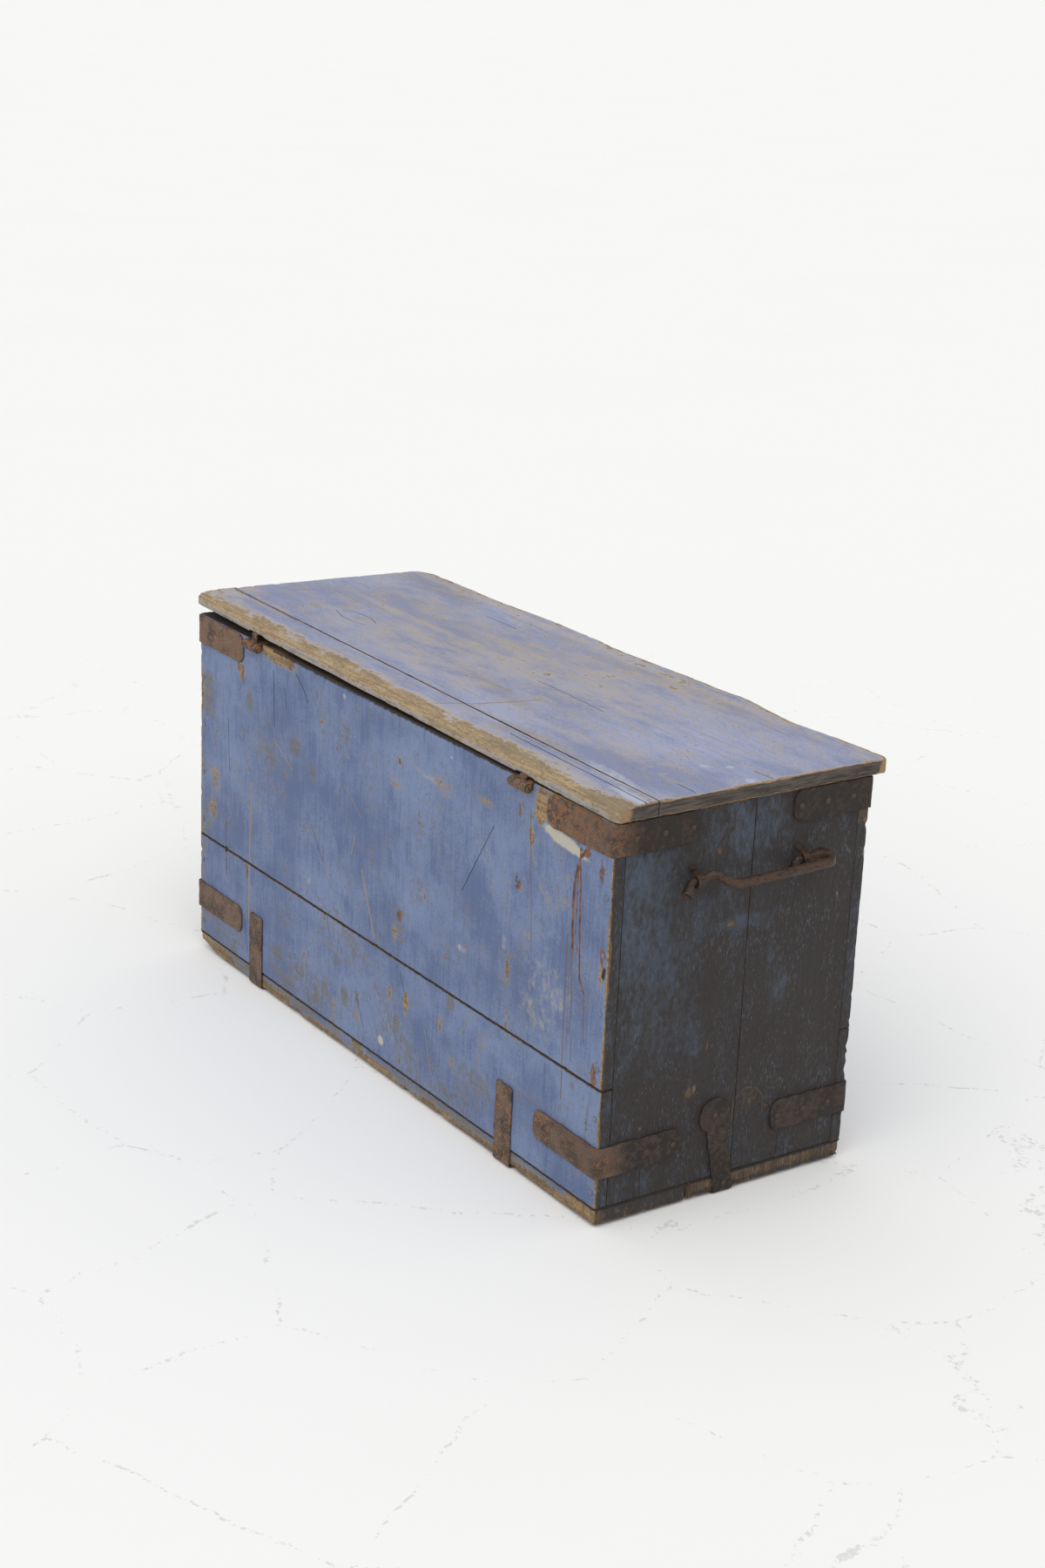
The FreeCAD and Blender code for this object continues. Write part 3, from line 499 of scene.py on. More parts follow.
def wearEdges(points, low, high, edges, seed):
    # rounds every edge by its own radius, more where a chip has gone, and says how bare it is
    low, high = np.array(low, float), np.array(high, float)
    gaps = {}
    for axis, letter in enumerate("xyz"):
        gaps[letter + "-"] = points[:, axis] - low[axis]
        gaps[letter + "+"] = high[axis] - points[:, axis]
    lumps = lumpsAt(points, (70, 70, 70), seed)
    chips = lumpsAt(points, (17, 17, 17), seed + 3) + 0.6 * lumpsAt(points, (6, 6, 6), seed + 5)
    nearest = np.full(len(points), 1e9)
    radius = np.zeros(len(points))
    bare = np.zeros(len(points))
    for first, second in (("x", "y"), ("y", "z"), ("x", "z")):
        for a in "-+":
            for b in "-+":
                pair = first + a + second + b
                roundness, chip, bareWidth = edges.get(pair, edges["rest"])
                distance = np.hypot(gaps[first + a], gaps[second + b])
                size = roundness * (1 + 0.5 * lumps) + chip * 2.2 * np.clip(chips - 0.2, 0, 1)
                radius = np.where(distance < nearest, size, radius)
                nearest = np.minimum(nearest, distance)
                if bareWidth > 0:
                    reach = bareWidth * np.clip(1 + 0.9 * lumps + 0.7 * chips, 0.25, 3)
                    bare = np.maximum(bare, np.exp(-((distance / reach) ** 2)))
    radius = np.clip(radius, 0.3, 0.47 * min(high - low))
    inner = np.clip(points, low + radius[:, None], high - radius[:, None])
    away = points - inner
    length = np.maximum(np.linalg.norm(away, axis=1), 1e-6)[:, None]
    return inner + away / length * radius[:, None], bare


def markLayers(u, v, marks):
    # how strong each kind of mark is at every point of a face
    layers = {}
    for kind in patchKinds:
        value = np.zeros(len(u))
        for cu, cv, halfU, halfV, turn, strength in marks.get(kind, []):
            c, s = math.cos(math.radians(turn)), math.sin(math.radians(turn))
            along = ((u - cu) * c + (v - cv) * s) / halfU
            across = ((v - cv) * c - (u - cu) * s) / halfV
            value = np.maximum(value, strength * np.clip(1.6 - np.hypot(along, across), 0, 1))
        layers[kind] = value
    for kind in lineKinds:
        nearest = np.full(len(u), 1e9)
        across = np.full(len(u), 20.0)
        there = np.zeros(len(u))
        for width, route in marks.get(kind, []):
            for (u0, v0), (u1, v1) in zip(route, route[1:]):
                length = math.hypot(u1 - u0, v1 - v0)
                du, dv = (u1 - u0) / length, (v1 - v0) / length
                along = (u - u0) * du + (v - v0) * dv
                side = (v - v0) * du - (u - u0) * dv
                past = np.maximum(np.maximum(-along, along - length), 0)
                distance = np.hypot(side, past)
                closer = distance < nearest
                across = np.where(closer, np.clip(side / (width / 2), -20, 20), across)
                shown = np.clip(2.4 - np.abs(side) / (4 + width / 2), 0, 1) * np.clip(1.2 - past / 5, 0, 1)
                there = np.where(closer, shown, there)
                nearest = np.minimum(nearest, distance)
        layers[kind + "At"] = across
        layers[kind + "On"] = there
    return layers


def strayMarks(seed, wide, high, count, small=False):
    # knocks and scratches strewn over a side, or only small specks
    pick = random.Random(seed)
    kinds = ["bare", "grime", "grime", "rust"] if small else ["bare"] * 2 + ["grime"] * 3 + ["rust"]
    least, most = (0.7, 2.4) if small else (2, 7)
    marks = {kind: [] for kind in ("bare", "grime", "rust", "crackAndShadow", "scratch")}
    for step in range(count):
        u, v = pick.uniform(0, wide), pick.uniform(0, high)
        kind = pick.choice(kinds)
        size = pick.uniform(least, most)
        shape = (size, size * pick.uniform(0.8, 2.4), pick.uniform(-20, 20), pick.uniform(0.5, 0.9))
        marks[kind].append((u, v, *shape))
        if step % 3 == 0 and not small:
            u, v = pick.uniform(0, wide), pick.uniform(0, high)
            reach = (u + pick.uniform(-16, 16), v + pick.uniform(12, 50))
            marks[pick.choice(["crackAndShadow", "scratch"])].append((pick.uniform(0.6, 1.2), [(u, v), reach]))
    return marks


def together(first, second):
    # both sets of marks as one
    return {kind: first.get(kind, []) + second.get(kind, []) for kind in patchKinds + lineKinds}


def addObject(name, data):
    made = bpy.data.objects.new(name, data)
    bpy.context.scene.collection.objects.link(made)
    return made


def makeMesh(name, points, quads, slots, materials, layers, body):
    # a smooth piece of one body, with a layer of values for each kind of mark
    mesh = bpy.data.meshes.new(name)
    mesh.from_pydata((points / 1000).tolist(), [], quads.tolist())
    for material in materials:
        mesh.materials.append(material)
    mesh.polygons.foreach_set("material_index", np.array(slots, np.int32))
    mesh.polygons.foreach_set("use_smooth", np.ones(len(quads), bool))
    for layer, value in layers.items():
        attribute = mesh.attributes.new(layer, "FLOAT", "POINT")
        attribute.data.foreach_set("value", value.astype(np.float32))
    mesh.update()
    piece = addObject(name, mesh)
    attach(piece, body)
    return piece


carcassLow, carcassHigh = boxOf("back_plank_upper")
frontY = boxOf("front_plank_upper")[0][1]
leftX, rightX = carcassLow[0], carcassHigh[0]
backY, wallTop = carcassHigh[1], carcassHigh[2]
wallFoot = boxOf("back_plank_lower")[0][2]
boxLong, boxDeep, boxHigh = round(rightX - leftX), round(backY - frontY), round(wallTop - wallFoot)
jointRim = {"ends": 18, "walls": 16}  # how far in from its edges a board is hidden by the next one
hollowFade = 6  # the hollow of a worn face is gone this far below it
hingeBoxes = [boxOf("hinge_lid_strap_left"), boxOf("hinge_lid_strap_right")]
hingePlaces = [(low[0] + high[0]) / 2 for low, high in hingeBoxes]
# the hinge straps lie in pockets in the wall's top edge and in the lid's underside
pocket = {"half": 18.2, "deep": 2.6, "wallSlope": 0.4, "lidSlope": 0.5, "lidReach": 150.4}


def pocketLines(slope):
    # grid lines at the sides of both pockets
    half = pocket["half"]
    return [x + side for x in hingePlaces for side in (-half - slope, -half, half, half + slope)]


def board(node, facing, look, step, pockets=False):
    # facing is the side that is painted; marks are placed on it, across and up in mm
    low, high = boxOf(node)
    xs = gridLines(low[0], high[0], step, pocketLines(pocket["wallSlope"]) if pockets else ())
    ys, zs = gridLines(low[1], high[1], step), gridLines(low[2], high[2], step)
    points, quads, sides = gridSkin(xs, ys, zs)
    seed = look["seed"]
    points, bare = wearEdges(points, low, high, look["edges"], seed)
    axis, sign = "xyz".index(facing[0]), 1 if facing[1] == "+" else -1
    depth = high[axis] - points[:, axis] if sign > 0 else points[:, axis] - low[axis]
    hollow = 0.5 + 0.5 * lumpsAt(points, (130, 130, 90), seed + 11)
    points[:, axis] -= sign * fade(depth, hollowFade) * look["hollow"] * hollow
    if "brokenCorner" in look:
        # a splinter has gone from the lower corner at the far end
        reach, lift, deep = look["brokenCorner"]
        along = np.clip((points[:, 0] - high[0] + reach) / reach, 0, 1)
        gone = lift * along * np.clip(1.3 - depth / deep, 0, 1) * (1 + 0.25 * lumpsAt(points, (9, 9, 9), 41))
        raised = np.maximum(points[:, 2], low[2] + gone)
        bare = np.where(raised > points[:, 2] + 0.5, 0.75, bare)
        points[:, 2] = raised
    for x in hingePlaces if pockets else ():
        inside = np.abs(points[:, 0] - x) < pocket["half"] + pocket["wallSlope"] / 2
        inside &= points[:, 2] > high[2] - 4
        points[:, 2] = np.where(inside, np.minimum(points[:, 2], high[2] - pocket["deep"]), points[:, 2])
    if facing[0] == "x":
        u = backY - points[:, 1] if sign < 0 else points[:, 1] - frontY
    else:
        u = points[:, 0] - leftX if sign > 0 else rightX - points[:, 0]
    layers = markLayers(u, points[:, 2] - wallFoot, look["marks"])
    layers["bare"] = np.maximum(layers["bare"], bare * look["bareEdges"])
    inner = look.get("inside", facing[0] + ("-" if facing[1] == "+" else "+"))
    # materials: the painted side, the ends, the inside, and what lies in the joints, which on the walls' tops
    # is painted shade under the lid
    slotOf = {"x-": 1, "x+": 1, inner: 2, facing: 0}
    slots = [slotOf.get(side, 3) for side in sides]
    if axis == 1:
        # the rim in the joints with the ends, and of the bottom under the walls, is nearly black
        middle = points[quads].mean(axis=1)
        rim = np.abs(middle[:, 0]) > rightX - jointRim["ends"]
        if inner == "z+":
            rim |= np.abs(middle[:, 1] - (high if sign > 0 else low)[1]) < jointRim["walls"]
        slots = [3 if hidden and slot == 2 else slot for slot, hidden in zip(slots, rim)]
    piece = makeMesh(node + "_worn", points, quads, slots, look["materials"], layers, "carcass")
    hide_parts(node)


# Hinge side, the long side that the picture shows. Places: mm from the near corner, mm up
# A patch is its place, half its width and height, its turn in degrees and its strength.
# A line is its width and the places that it goes through.
longMarks = {
    "bare": [
        (733, 451, 38, 9, 3, 1.0), (405, 95, 5, 14, 5, 1.0), (444, 95, 4, 9, 0, 0.9),
        (327, 99, 3, 10, 0, 0.8), (435, 178, 5, 12, 0, 0.6), (153, 395, 5, 12, 0, 0.7),
        (433, 399, 4, 5, 0, 0.8), (618, 397, 4, 4, 0, 0.8), (340, 397, 18, 9, 20, 0.55),
        (246, 405, 16, 6, 0, 0.55), (441, 368, 14, 6, 0, 0.5), (902, 237, 12, 18, 0, 0.6),
        (908, 192, 10, 16, 0, 0.6), (520, 35, 9, 5, 30, 0.55), (575, 22, 5, 14, 0, 0.5),
        (655, 70, 4, 12, 0, 0.5), (302, 60, 12, 5, 60, 0.5), (235, 110, 3, 12, 0, 0.5),
        (830, 408, 8, 12, 0, 0.7), (191, 219, 5, 18, 0, 0.55), (188, 155, 3, 14, 0, 0.6),
        (13, 281, 3, 14, 0, 0.8), (66, 452, 66, 6, 0, 1.0), (137, 434, 10, 22, 0, 1.0),
        (172, 447, 10, 7, 0, 0.8),
    ],
    "pale": [
        (90, 409, 36, 6.5, 8, 1.3), (461, 24, 5, 5, 0, 1.4), (287, 211, 11, 5, 0, 0.5),
        (565, 444, 5, 4, 0, 0.7), (322, 438, 2, 2, 0, 1.2), (373, 399, 26, 5, 5, 0.42),
        (645, 176, 5, 11, 20, 0.4), (115, 215, 60, 60, 0, 0.34), (120, 320, 70, 90, 0, 0.24),
        (260, 330, 120, 60, 10, 0.22), (200, 250, 5, 9, 10, 0.5),
    ],
    "rust": [
        (178, 332, 6, 10, 0, 1.0), (426, 204, 6, 8, 0, 0.9), (20, 396, 5, 14, 0, 0.9),
        (811, 129, 3, 18, 0, 0.9), (178, 417, 3, 16, 0, 0.7), (838, 410, 3, 12, 0, 0.8),
        (826, 405, 4, 15, 0, 0.8), (11, 300, 5, 10, 0, 0.9), (15, 160, 6, 14, 0, 0.9),
        (52, 409, 16, 5, 10, 0.9),
    ],
    "grime": [
        (697, 16, 16, 10, 0, 0.7), (724, 44, 14, 10, 0, 0.7), (573, 90, 6, 10, 0, 0.9),
        (306, 135, 7, 10, 0, 0.9), (550, 48, 7, 14, 0, 0.8), (304, 250, 3, 3, 0, 1.4),
        (920, 350, 16, 26, 0, 0.7), (687, 345, 12, 12, 0, 0.6), (640, 324, 9, 12, 0, 0.6),
        (806, 368, 16, 12, 0, 0.5), (640, 30, 140, 26, 0, 0.3), (470, 60, 60, 40, 0, 0.3),
        (860, 440, 90, 14, 0, 0.35), (430, 190, 18, 30, 0, 0.5), (930, 120, 20, 120, 0, 0.3),
        (560, 120, 60, 30, 20, 0.34), (380, 30, 90, 26, 0, 0.34), (250, 40, 60, 30, 0, 0.3),
        (760, 300, 40, 50, 10, 0.22), (590, 380, 50, 30, -15, 0.22), (870, 30, 60, 30, 0, 0.36),
    ],
    "streak": [
        (4.6, [(46, 414), (60, 399), (67, 375), (69, 345), (68, 311), (66, 292)]),
        (3.0, [(60, 402), (57, 372), (55, 321), (51, 262), (42, 248)]),
    ],
    "drip": [
        (1.8, [(42, 248), (37, 192)]), (1.6, [(77, 303), (76, 164), (75, 108)]),
        (1.4, [(66, 292), (65, 190)]), (1.3, [(157, 423), (151, 340), (145, 261)]),
        (1.3, [(67, 289), (60, 162)]),
    ],
    "crackAndShadow": [
        # the wide dark line 458 mm up along the top edge is painted shadow, the shade in the gap under the
        # lid
        (3.6, [(-4, 145), (950, 145)]), (3.6, [(-4, 0), (950, 0)]), (8.0, [(168, 458), (742, 458)]),
        (6.0, [(6, 287), (8, 279)]), (1.4, [(744, 426), (740, 358)]), (1.0, [(714, 412), (710, 391)]),
        (1.2, [(684, 439), (668, 428), (656, 413)]), (0.9, [(230, 380), (288, 286)]),
        (1.0, [(870, 180), (868, 110)]), (0.9, [(865, 330), (862, 262)]),
        (0.8, [(600, 150), (590, 118)]), (0.8, [(815, 60), (808, 20)]), (0.8, [(520, 60), (505, 28)]),
        (0.8, [(420, 130), (402, 96)]), (0.8, [(640, 250), (612, 214)]),
    ],
    "scratch": [
        (2.6, [(515, 232), (502, 202), (483, 156)]), (1.8, [(535, 268), (541, 247)]),
        (1.6, [(606, 222), (598, 200)]), (1.6, [(740, 337), (693, 312)]),
        (3.0, [(800, 260), (805, 153), (805, 69)]), (1.4, [(360, 75), (345, 30)]),
        (1.2, [(250, 120), (238, 70)]), (1.3, [(280, 105), (270, 126), (258, 138)]),
        (1.0, [(560, 330), (520, 300)]),
    ],
}
# the edge between two sides: how round, how chipped and how far the paint is off, mm
sideEdges = {
    "rest": (0.8, 0.0, 0),
    "x-y+": (2.6, 4.0, 2.8), "x+y+": (3.0, 4.0, 6), "y+z+": (1.6, 1.5, 0), "y+z-": (1.6, 1.0, 0.8),
}
upperSide = {
    "seed": 1,
    "edges": dict(sideEdges, **{"y+z-": (1.6, 2.0, 1.0)}),
    "hollow": 0.7, "bareEdges": 1.0,
    "marks": together(longMarks, strayMarks(15, boxLong, boxHigh, 150, True)),
    "materials": [longSidePaint, endPaint, insideWood, jointWoodDirtAndShade],
}
lowerEdges = dict(sideEdges, **{"y+z+": (1.6, 1.2, 1.2), "y+z-": (1.5, 1.2, 1.0)})
lowerSide = dict(upperSide, seed=2, edges=lowerEdges)
board("back_plank_upper", "y+", upperSide, 4, pockets=True)
board("back_plank_lower", "y+", lowerSide, 4)

farMarks = strayMarks(11, boxLong, boxHigh, 60)
frontEdges = {
    "rest": (0.8, 0.0, 0),
    "x-y-": (2.6, 8.0, 0.8), "x+y-": (3.0, 6.0, 3), "y-z+": (2.0, 2.0, 4.0), "y-z-": (1.6, 1.4, 2.4),
}
frontSide = dict(upperSide, seed=3, edges=frontEdges, marks=farMarks)
board("front_plank_upper", "y-", frontSide, 6)
board("front_plank_lower", "y-", dict(frontSide, seed=4), 6)
print("long sides made")

# Ends. Places on the left end: mm from the hinge side, mm up
leftEndMarks = {
    "clean": [
        (42, 350, 36, 80, 0, 0.58), (70, 290, 34, 50, 0, 0.48), (200, 430, 50, 40, 0, 0.3),
        (182, 312, 50, 8, -2, 0.7), (240, 220, 17, 30, 10, 0.7), (67, 15, 7, 6, 0, 0.8),
        (85, 230, 44, 60, 0, 0.3), (120, 200, 20, 60, 0, 0.3), (228, 262, 16, 12, -30, 0.5),
        (256, 232, 5, 18, 0, 0.5), (222, 300, 8, 5, 0, 0.5), (140, 330, 40, 20, 0, 0.35),
        (300, 300, 30, 60, 0, 0.1),
    ],
    "pale": [(115, 191, 1.6, 4, 0, 0.9), (321, 318, 1.5, 12, 0, 0.5)],
    "bare": [(126, 116, 8, 5, 30, 1.0), (168, 312, 10, 3, 0, 0.8), (212, 84, 6, 9, 0, 0.5)],
    "rust": [(150, 400, 10, 12, 0, 0.4), (240, 90, 40, 30, 0, 0.25)],
    "grime": [
        (310, 240, 90, 200, 0, 0.45), (130, 90, 120, 60, 0, 0.3), (215, 150, 60, 60, 0, 0.25),
        (150, 260, 24, 60, 0, 0.3),
    ],
    "scratch": [
        (1.4, [(321, 328), (328, 305)]),
        (2.2, [(190, 66), (191, 88), (200, 99), (212, 103), (225, 98), (234, 86), (235, 68)]),
        (1.2, [(205, 78), (206, 92), (214, 95), (219, 86), (216, 76)]),
    ],
    "crackAndShadow": [
        (1.0, [(60, 60), (62, 0)]), (1.2, [(262, 60), (260, 2)]), (1.5, [(16, 458), (16, -2)]),
        (3.0, [(0, 0), (360, 0)]),
    ],
}
endEdges = {"rest": (0.8, 0.0, 0), "x-z+": (1.5, 1.0, 2.0), "x-y-": (0.5, 0.4, 0), "x-y+": (0.5, 0.5, 0)}
leftEnd = {
    "seed": 5,
    "edges": endEdges,
    "hollow": 0.9, "bareEdges": 0.8,
    "marks": together(leftEndMarks, strayMarks(16, boxDeep, boxHigh, 50, True)),
    "materials": [endPaint, endPaint, insideUpright, jointWoodDirtAndShade],
}
board("left_end_board_back", "x-", leftEnd, 5)
board("left_end_board_front", "x-", dict(leftEnd, seed=6), 5)
rightEdges = {"rest": (0.8, 0, 0), "x+z+": (1.5, 1.0, 2.0), "x+y-": (1.2, 0.6, 1.0), "x+y+": (1.0, 0.6, 1.0)}
cleanPlaces = [(60, 330, 40, 70, 0, 0.5), (250, 200, 30, 50, 0, 0.5)]
rightEndMarks = dict(strayMarks(12, boxDeep, boxHigh, 34), clean=cleanPlaces)
rightEnd = dict(leftEnd, seed=7, edges=rightEdges, marks=rightEndMarks)
board("right_end_board_front", "x+", rightEnd, 6)
board("right_end_board_back", "x+", dict(rightEnd, seed=8), 6)

# The bottom planks are nearest the floor, so their lower edges are the most knocked about
bottomEdges = {
    "rest": (1.0, 0.5, 0),
    "y+z-": (4.5, 10.0, 4), "y-z-": (5.0, 9.0, 5), "x-z-": (4.6, 15.0, 3.6), "x+z-": (4.5, 9.0, 6),
    "x-y+": (7.0, 6.0, 9), "x-y-": (7.0, 8.0, 4), "x+y+": (8.0, 5.0, 9), "x+y-": (6.0, 5.0, 8),
    "y+z+": (1.6, 1.6, 1.0),
}
bottomMarks = {
    "bare": [
        (30, -12, 24, 12, 0, 0.95), (95, -16, 60, 7, 1, 0.9), (215, -16, 70, 4, 0, 0.75),
        (330, -17, 60, 5, 0, 0.7), (470, -15, 50, 6, 1, 0.8), (520, -6, 16, 5, 20, 0.7),
        (600, -17, 60, 4, 0, 0.7), (735, -14, 40, 7, -2, 0.85), (790, -9, 20, 6, 10, 0.7),
        (880, -12, 30, 8, 8, 0.9), (930, -8, 18, 8, 0, 0.9),
    ],
    "grime": [(200, -10, 240, 20, 0, 0.6), (700, -10, 300, 20, 0, 0.55)],
    "crackAndShadow": [(3.6, [(-4, 0), (950, 0)])],
}
bottomLook = dict(upperSide, seed=9, edges=bottomEdges, hollow=1.6, marks=bottomMarks, inside="z+")
board("bottom_plank_back", "y+", dict(bottomLook, brokenCorner=(56, 13, 60)), 5)
board("bottom_plank_front", "y-", dict(bottomLook, seed=10), 6)
print("ends and bottom made")

# Lid: both planks are laid out flat, x along the trunk, y from the hinge side, then twisted
lid = {
    "thickness": 18, "depth": 360, "joint": 56, "gap": 0.4,
    "seat": 0.3, "liftRight": 10,  # how far it stands off the walls, all along and at the far end
    "leftCorner": 10, "rightCorner": 36,
    "wearWidth": 27, "wearDepth": 4.0, "ragged": 2.0, "raggedReach": 7, "hingeRagged": 1.2,
    # share of the way along the front edge, and how far that edge reaches past the depth
    "frontWear": [
        (0.0, 23.0), (0.09, 19.0), (0.15, 12.0), (0.23, 18.0), (0.275, 24.0), (0.31, 19.5),
        (0.38, 18.0), (0.52, 11.0), (0.68, 13.0), (0.84, 4.0), (1.0, 2.5),
    ],
}
lidLow, lidHigh = boxOf("lid_plank_back")
lidLeft, lidRight = lidLow[0], lidHigh[0]


def cornerInset(x, leftRadius, rightRadius):
    # how far the rounded corners stand back from the straight edge
    inset = np.zeros(len(x))
    for distance, radius in ((x - lidLeft, leftRadius), (lidRight - x, rightRadius)):
        short = np.clip(radius - distance, 0, radius)
        inset += radius - np.sqrt(radius**2 - short**2)
    return inset


def frontEdge(x):
    start, end = lidLeft + lid["leftCorner"], lidRight - lid["rightCorner"]
    share = (x - start) / (end - start)
    reach = np.interp(share, [s for s, r in lid["frontWear"]], [r for s, r in lid["frontWear"]])
    return lid["depth"] + reach - cornerInset(x, lid["leftCorner"], lid["rightCorner"])


def lidBoard(node, look, step):
    thick = lid["thickness"]
    y0, y1 = look["start"], look["end"]
    # lines for the pockets' sides and ends, and closer ones where the far corner is round
    xs = pocketLines(pocket["lidSlope"]) + [lidRight - d for d in (16, 20, 25, 30, 36)]
    ys = [y for y in (pocket["lidReach"], pocket["lidReach"] + pocket["lidSlope"]) if y0 < y < y1]
    low, high = [lidLeft, y0, 0], [lidRight, y1, thick]
    lines = gridLines(lidLeft, lidRight, step, xs), gridLines(y0, y1, step, ys), gridLines(0, thick, 4)
    points, quads, sides = gridSkin(*lines)
    points, bare = wearEdges(points, low, high, look["edges"], look["seed"])
    x, y, h = points[:, 0].copy(), points[:, 1].copy(), points[:, 2].copy()
    top = np.clip(h / thick, 0, 1)
    h -= top * look["hollow"] * (0.5 + 0.5 * lumpsAt(points, (140, 60, 60), look["seed"] + 11))
    if y0 == 0:
        h -= top * lid["wearDepth"] * fade(y, lid["wearWidth"]) ** 1.5
        inset = cornerInset(x, lid["leftCorner"], lid["leftCorner"])
        ragged = lid["hingeRagged"] * np.clip(lumpsAt(points, (45, 45, 45), 31), 0, 1)
        y = y1 - (y1 - y) * (y1 - inset - ragged) / y1
    else:
        y = y0 + (y - y0) * (frontEdge(x) - y0) / (y1 - y0)
    halfSlope = pocket["lidSlope"] / 2
    for place in hingePlaces:
        over = (np.abs(x - place) < pocket["half"] + halfSlope) & (y < pocket["lidReach"] + halfSlope)
        h = np.where(over, np.maximum(h, pocket["deep"]), h)
    bites = 0.3 + lumpsAt(points, (26, 26, 40), 33) + 0.5 * lumpsAt(points, (9, 9, 12), 35)
    chewed = lid["ragged"] * np.clip(bites, 0, 1.4)
    reach = lid["raggedReach"]
    x = x + chewed * (fade(x - lidLeft, reach) - fade(lidRight - x, reach))
    if y0 > 0:
        y = y - chewed * fade(frontEdge(x) - y, reach)
    lift = lid["liftRight"] * (x - leftX) / (rightX - leftX)
    under = wallTop + lid["seat"] + lift * (1 - y / lid["depth"])
    layers = markLayers(x - leftX, y, look["marks"])
    layers["bare"] = np.maximum(layers["bare"], bare)
    if y0 == 0:
        # paint and dirt have lasted on the upright face of the hinge edge
        upright = np.where(y < 4, np.clip((9 - h) / 4, 0, 1), 0)
        layers["bare"] *= 1 - 0.62 * upright
        layers["grime"] = np.maximum(layers["grime"], 0.55 * upright)
    placed = np.stack([x, backY - y, under + h], -1)
    slotOf = {"x-": 1, "x+": 1, "z-": 2, "y-": 3}
    slots = [slotOf.get(side, 0) for side in sides]
    piece = makeMesh(node + "_worn", placed, quads[:, ::-1], slots, look["materials"], layers, "lid")
    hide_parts(node)


# Places on the lid: mm along from the near end, mm from the hinge side
lidMarks = {
    "bare": [
        (470, 8, 560, 15, 0, 0.72), (150, 20, 130, 10, 1, 0.5), (430, 230, 190, 80, -8, 0.3),
        (600, 140, 150, 60, -6, 0.27), (330, 300, 130, 46, -10, 0.24), (650, 205, 190, 7, -2, 0.3),
        (540, 160, 120, 7, -2, 0.28), (560, 110, 170, 34, 2, 0.22), (700, 120, 130, 6, 1, 0.28),
        (300, 210, 90, 8, -4, 0.24), (150, 130, 90, 20, 3, 0.2), (820, 270, 130, 26, -4, 0.18),
        (620, 95, 160, 12, 2, 0.24), (880, 60, 60, 6, 1, 0.34), (12, 12, 26, 12, 0, 0.9),
        (940, 40, 30, 40, 0, 0.45), (480, 190, 90, 30, -6, 0.2), (250, 110, 80, 14, 2, 0.2),
        (700, 250, 90, 30, -5, 0.16), (100, 300, 60, 30, 0, 0.12), (190, 190, 60, 16, 3, 0.14),
        (500, 350, 420, 8, -1, 0.5),
    ],
    "grime": [
        (835, 117, 14, 10, 0, 0.6), (756, 134, 13, 9, 0, 0.65), (815, 155, 14, 4, -10, 0.7),
        (934, 216, 14, 4, 10, 0.7), (286, 42, 16, 9, 0, 0.8), (6, 10, 40, 16, 0, 1.1),
        (180, 10, 60, 10, 0, 0.5), (350, 330, 200, 20, -2, 0.45), (780, 200, 150, 60, 0, 0.28),
        (560, 250, 150, 70, 0, 0.3), (880, 330, 120, 30, 0, 0.4), (400, 120, 60, 12, 5, 0.5),
        (240, 60, 60, 8, 0, 0.4),
    ],
    "pale": [
        (24, 36, 34, 8, 4, 0.9), (70, 171, 3, 3, 0, 2.0), (54, 195, 3, 3, 0, 2.0),
        (6, 187, 5, 4, 0, 2.0), (150, 230, 120, 80, 0, 0.22), (90, 60, 60, 12, 5, 0.6),
    ],
    "crackAndShadow": [
        (2.4, [(-6, 56), (965, 56)]), (1.4, [(-6, 39), (60, 40), (205, 41), (260, 41)]),
        (0.9, [(800, 126), (775, 119), (752, 118), (728, 124)]),
        (0.9, [(800, 142), (772, 149), (750, 149), (730, 143)]), (0.9, [(700, 300), (640, 301)]),
        (0.9, [(420, 190), (350, 191), (290, 189)]), (1.0, [(30, 108), (6, 108)]),
        (1.0, [(26, 212), (4, 213)]),
    ],
    "drip": [(2.2, [(945, 52), (860, 53), (780, 52)])],
    "scratch": [
        (3.2, [(395, 27), (376, 65), (364, 110), (357, 143)]), (2.0, [(620, 180), (560, 182)]),
        (2.0, [(480, 130), (400, 134)]),
    ],
}
lidBackLook = {
    "seed": 21,
    "start": 0,
    "end": lid["joint"] - lid["gap"],
    "edges": {
        "rest": (0.8, 0.0, 0),
        "y-z+": (7.0, 3.0, 13), "y-z-": (2.0, 2.0, 2), "y+z+": (1.6, 0.8, 0.8), "x-z+": (5.0, 5.0, 3.4),
        "x+z+": (4.5, 4.5, 7), "x-y-": (8.0, 3.0, 7), "x-z-": (2.0, 2.0, 3), "x+y-": (6.0, 4.0, 16),
        "x+z-": (3.0, 2.0, 8),
    },
    "hollow": 0.9,
    "marks": together(lidMarks, strayMarks(17, boxLong, boxDeep, 90, True)),
    "materials": [lidEdgePaint, endGrain, insideWood, lidUprightPaint],
}
lidMainLook = dict(
    lidBackLook,
    seed=22,
    materials=[lidPaint, endGrain, insideWood, jointWoodDirtAndShade],
    start=lid["joint"] + lid["gap"],
    end=lid["depth"] + max(reach for share, reach in lid["frontWear"]),
    edges={
        "rest": (0.8, 0.0, 0),
        "y-z+": (1.6, 0.8, 0.8), "y+z+": (4.0, 3.0, 9), "y+z-": (2.0, 1.5, 2), "x-z+": (4.6, 6.0, 3.2),
        "x+z+": (4.0, 5.0, 5), "x-z-": (1.5, 1.5, 2), "x-y+": (3.0, 2.0, 8), "x+y+": (3.0, 2.0, 8),
    },
)
lidBoard("lid_plank_back", lidBackLook, 4)
lidBoard("lid_plank_main", lidMainLook, 5)


def addModifier(piece, name, kind, **settings):
    modifier = piece.modifiers.new(name, kind)
    for setting, value in settings.items():
        setattr(modifier, setting, value)


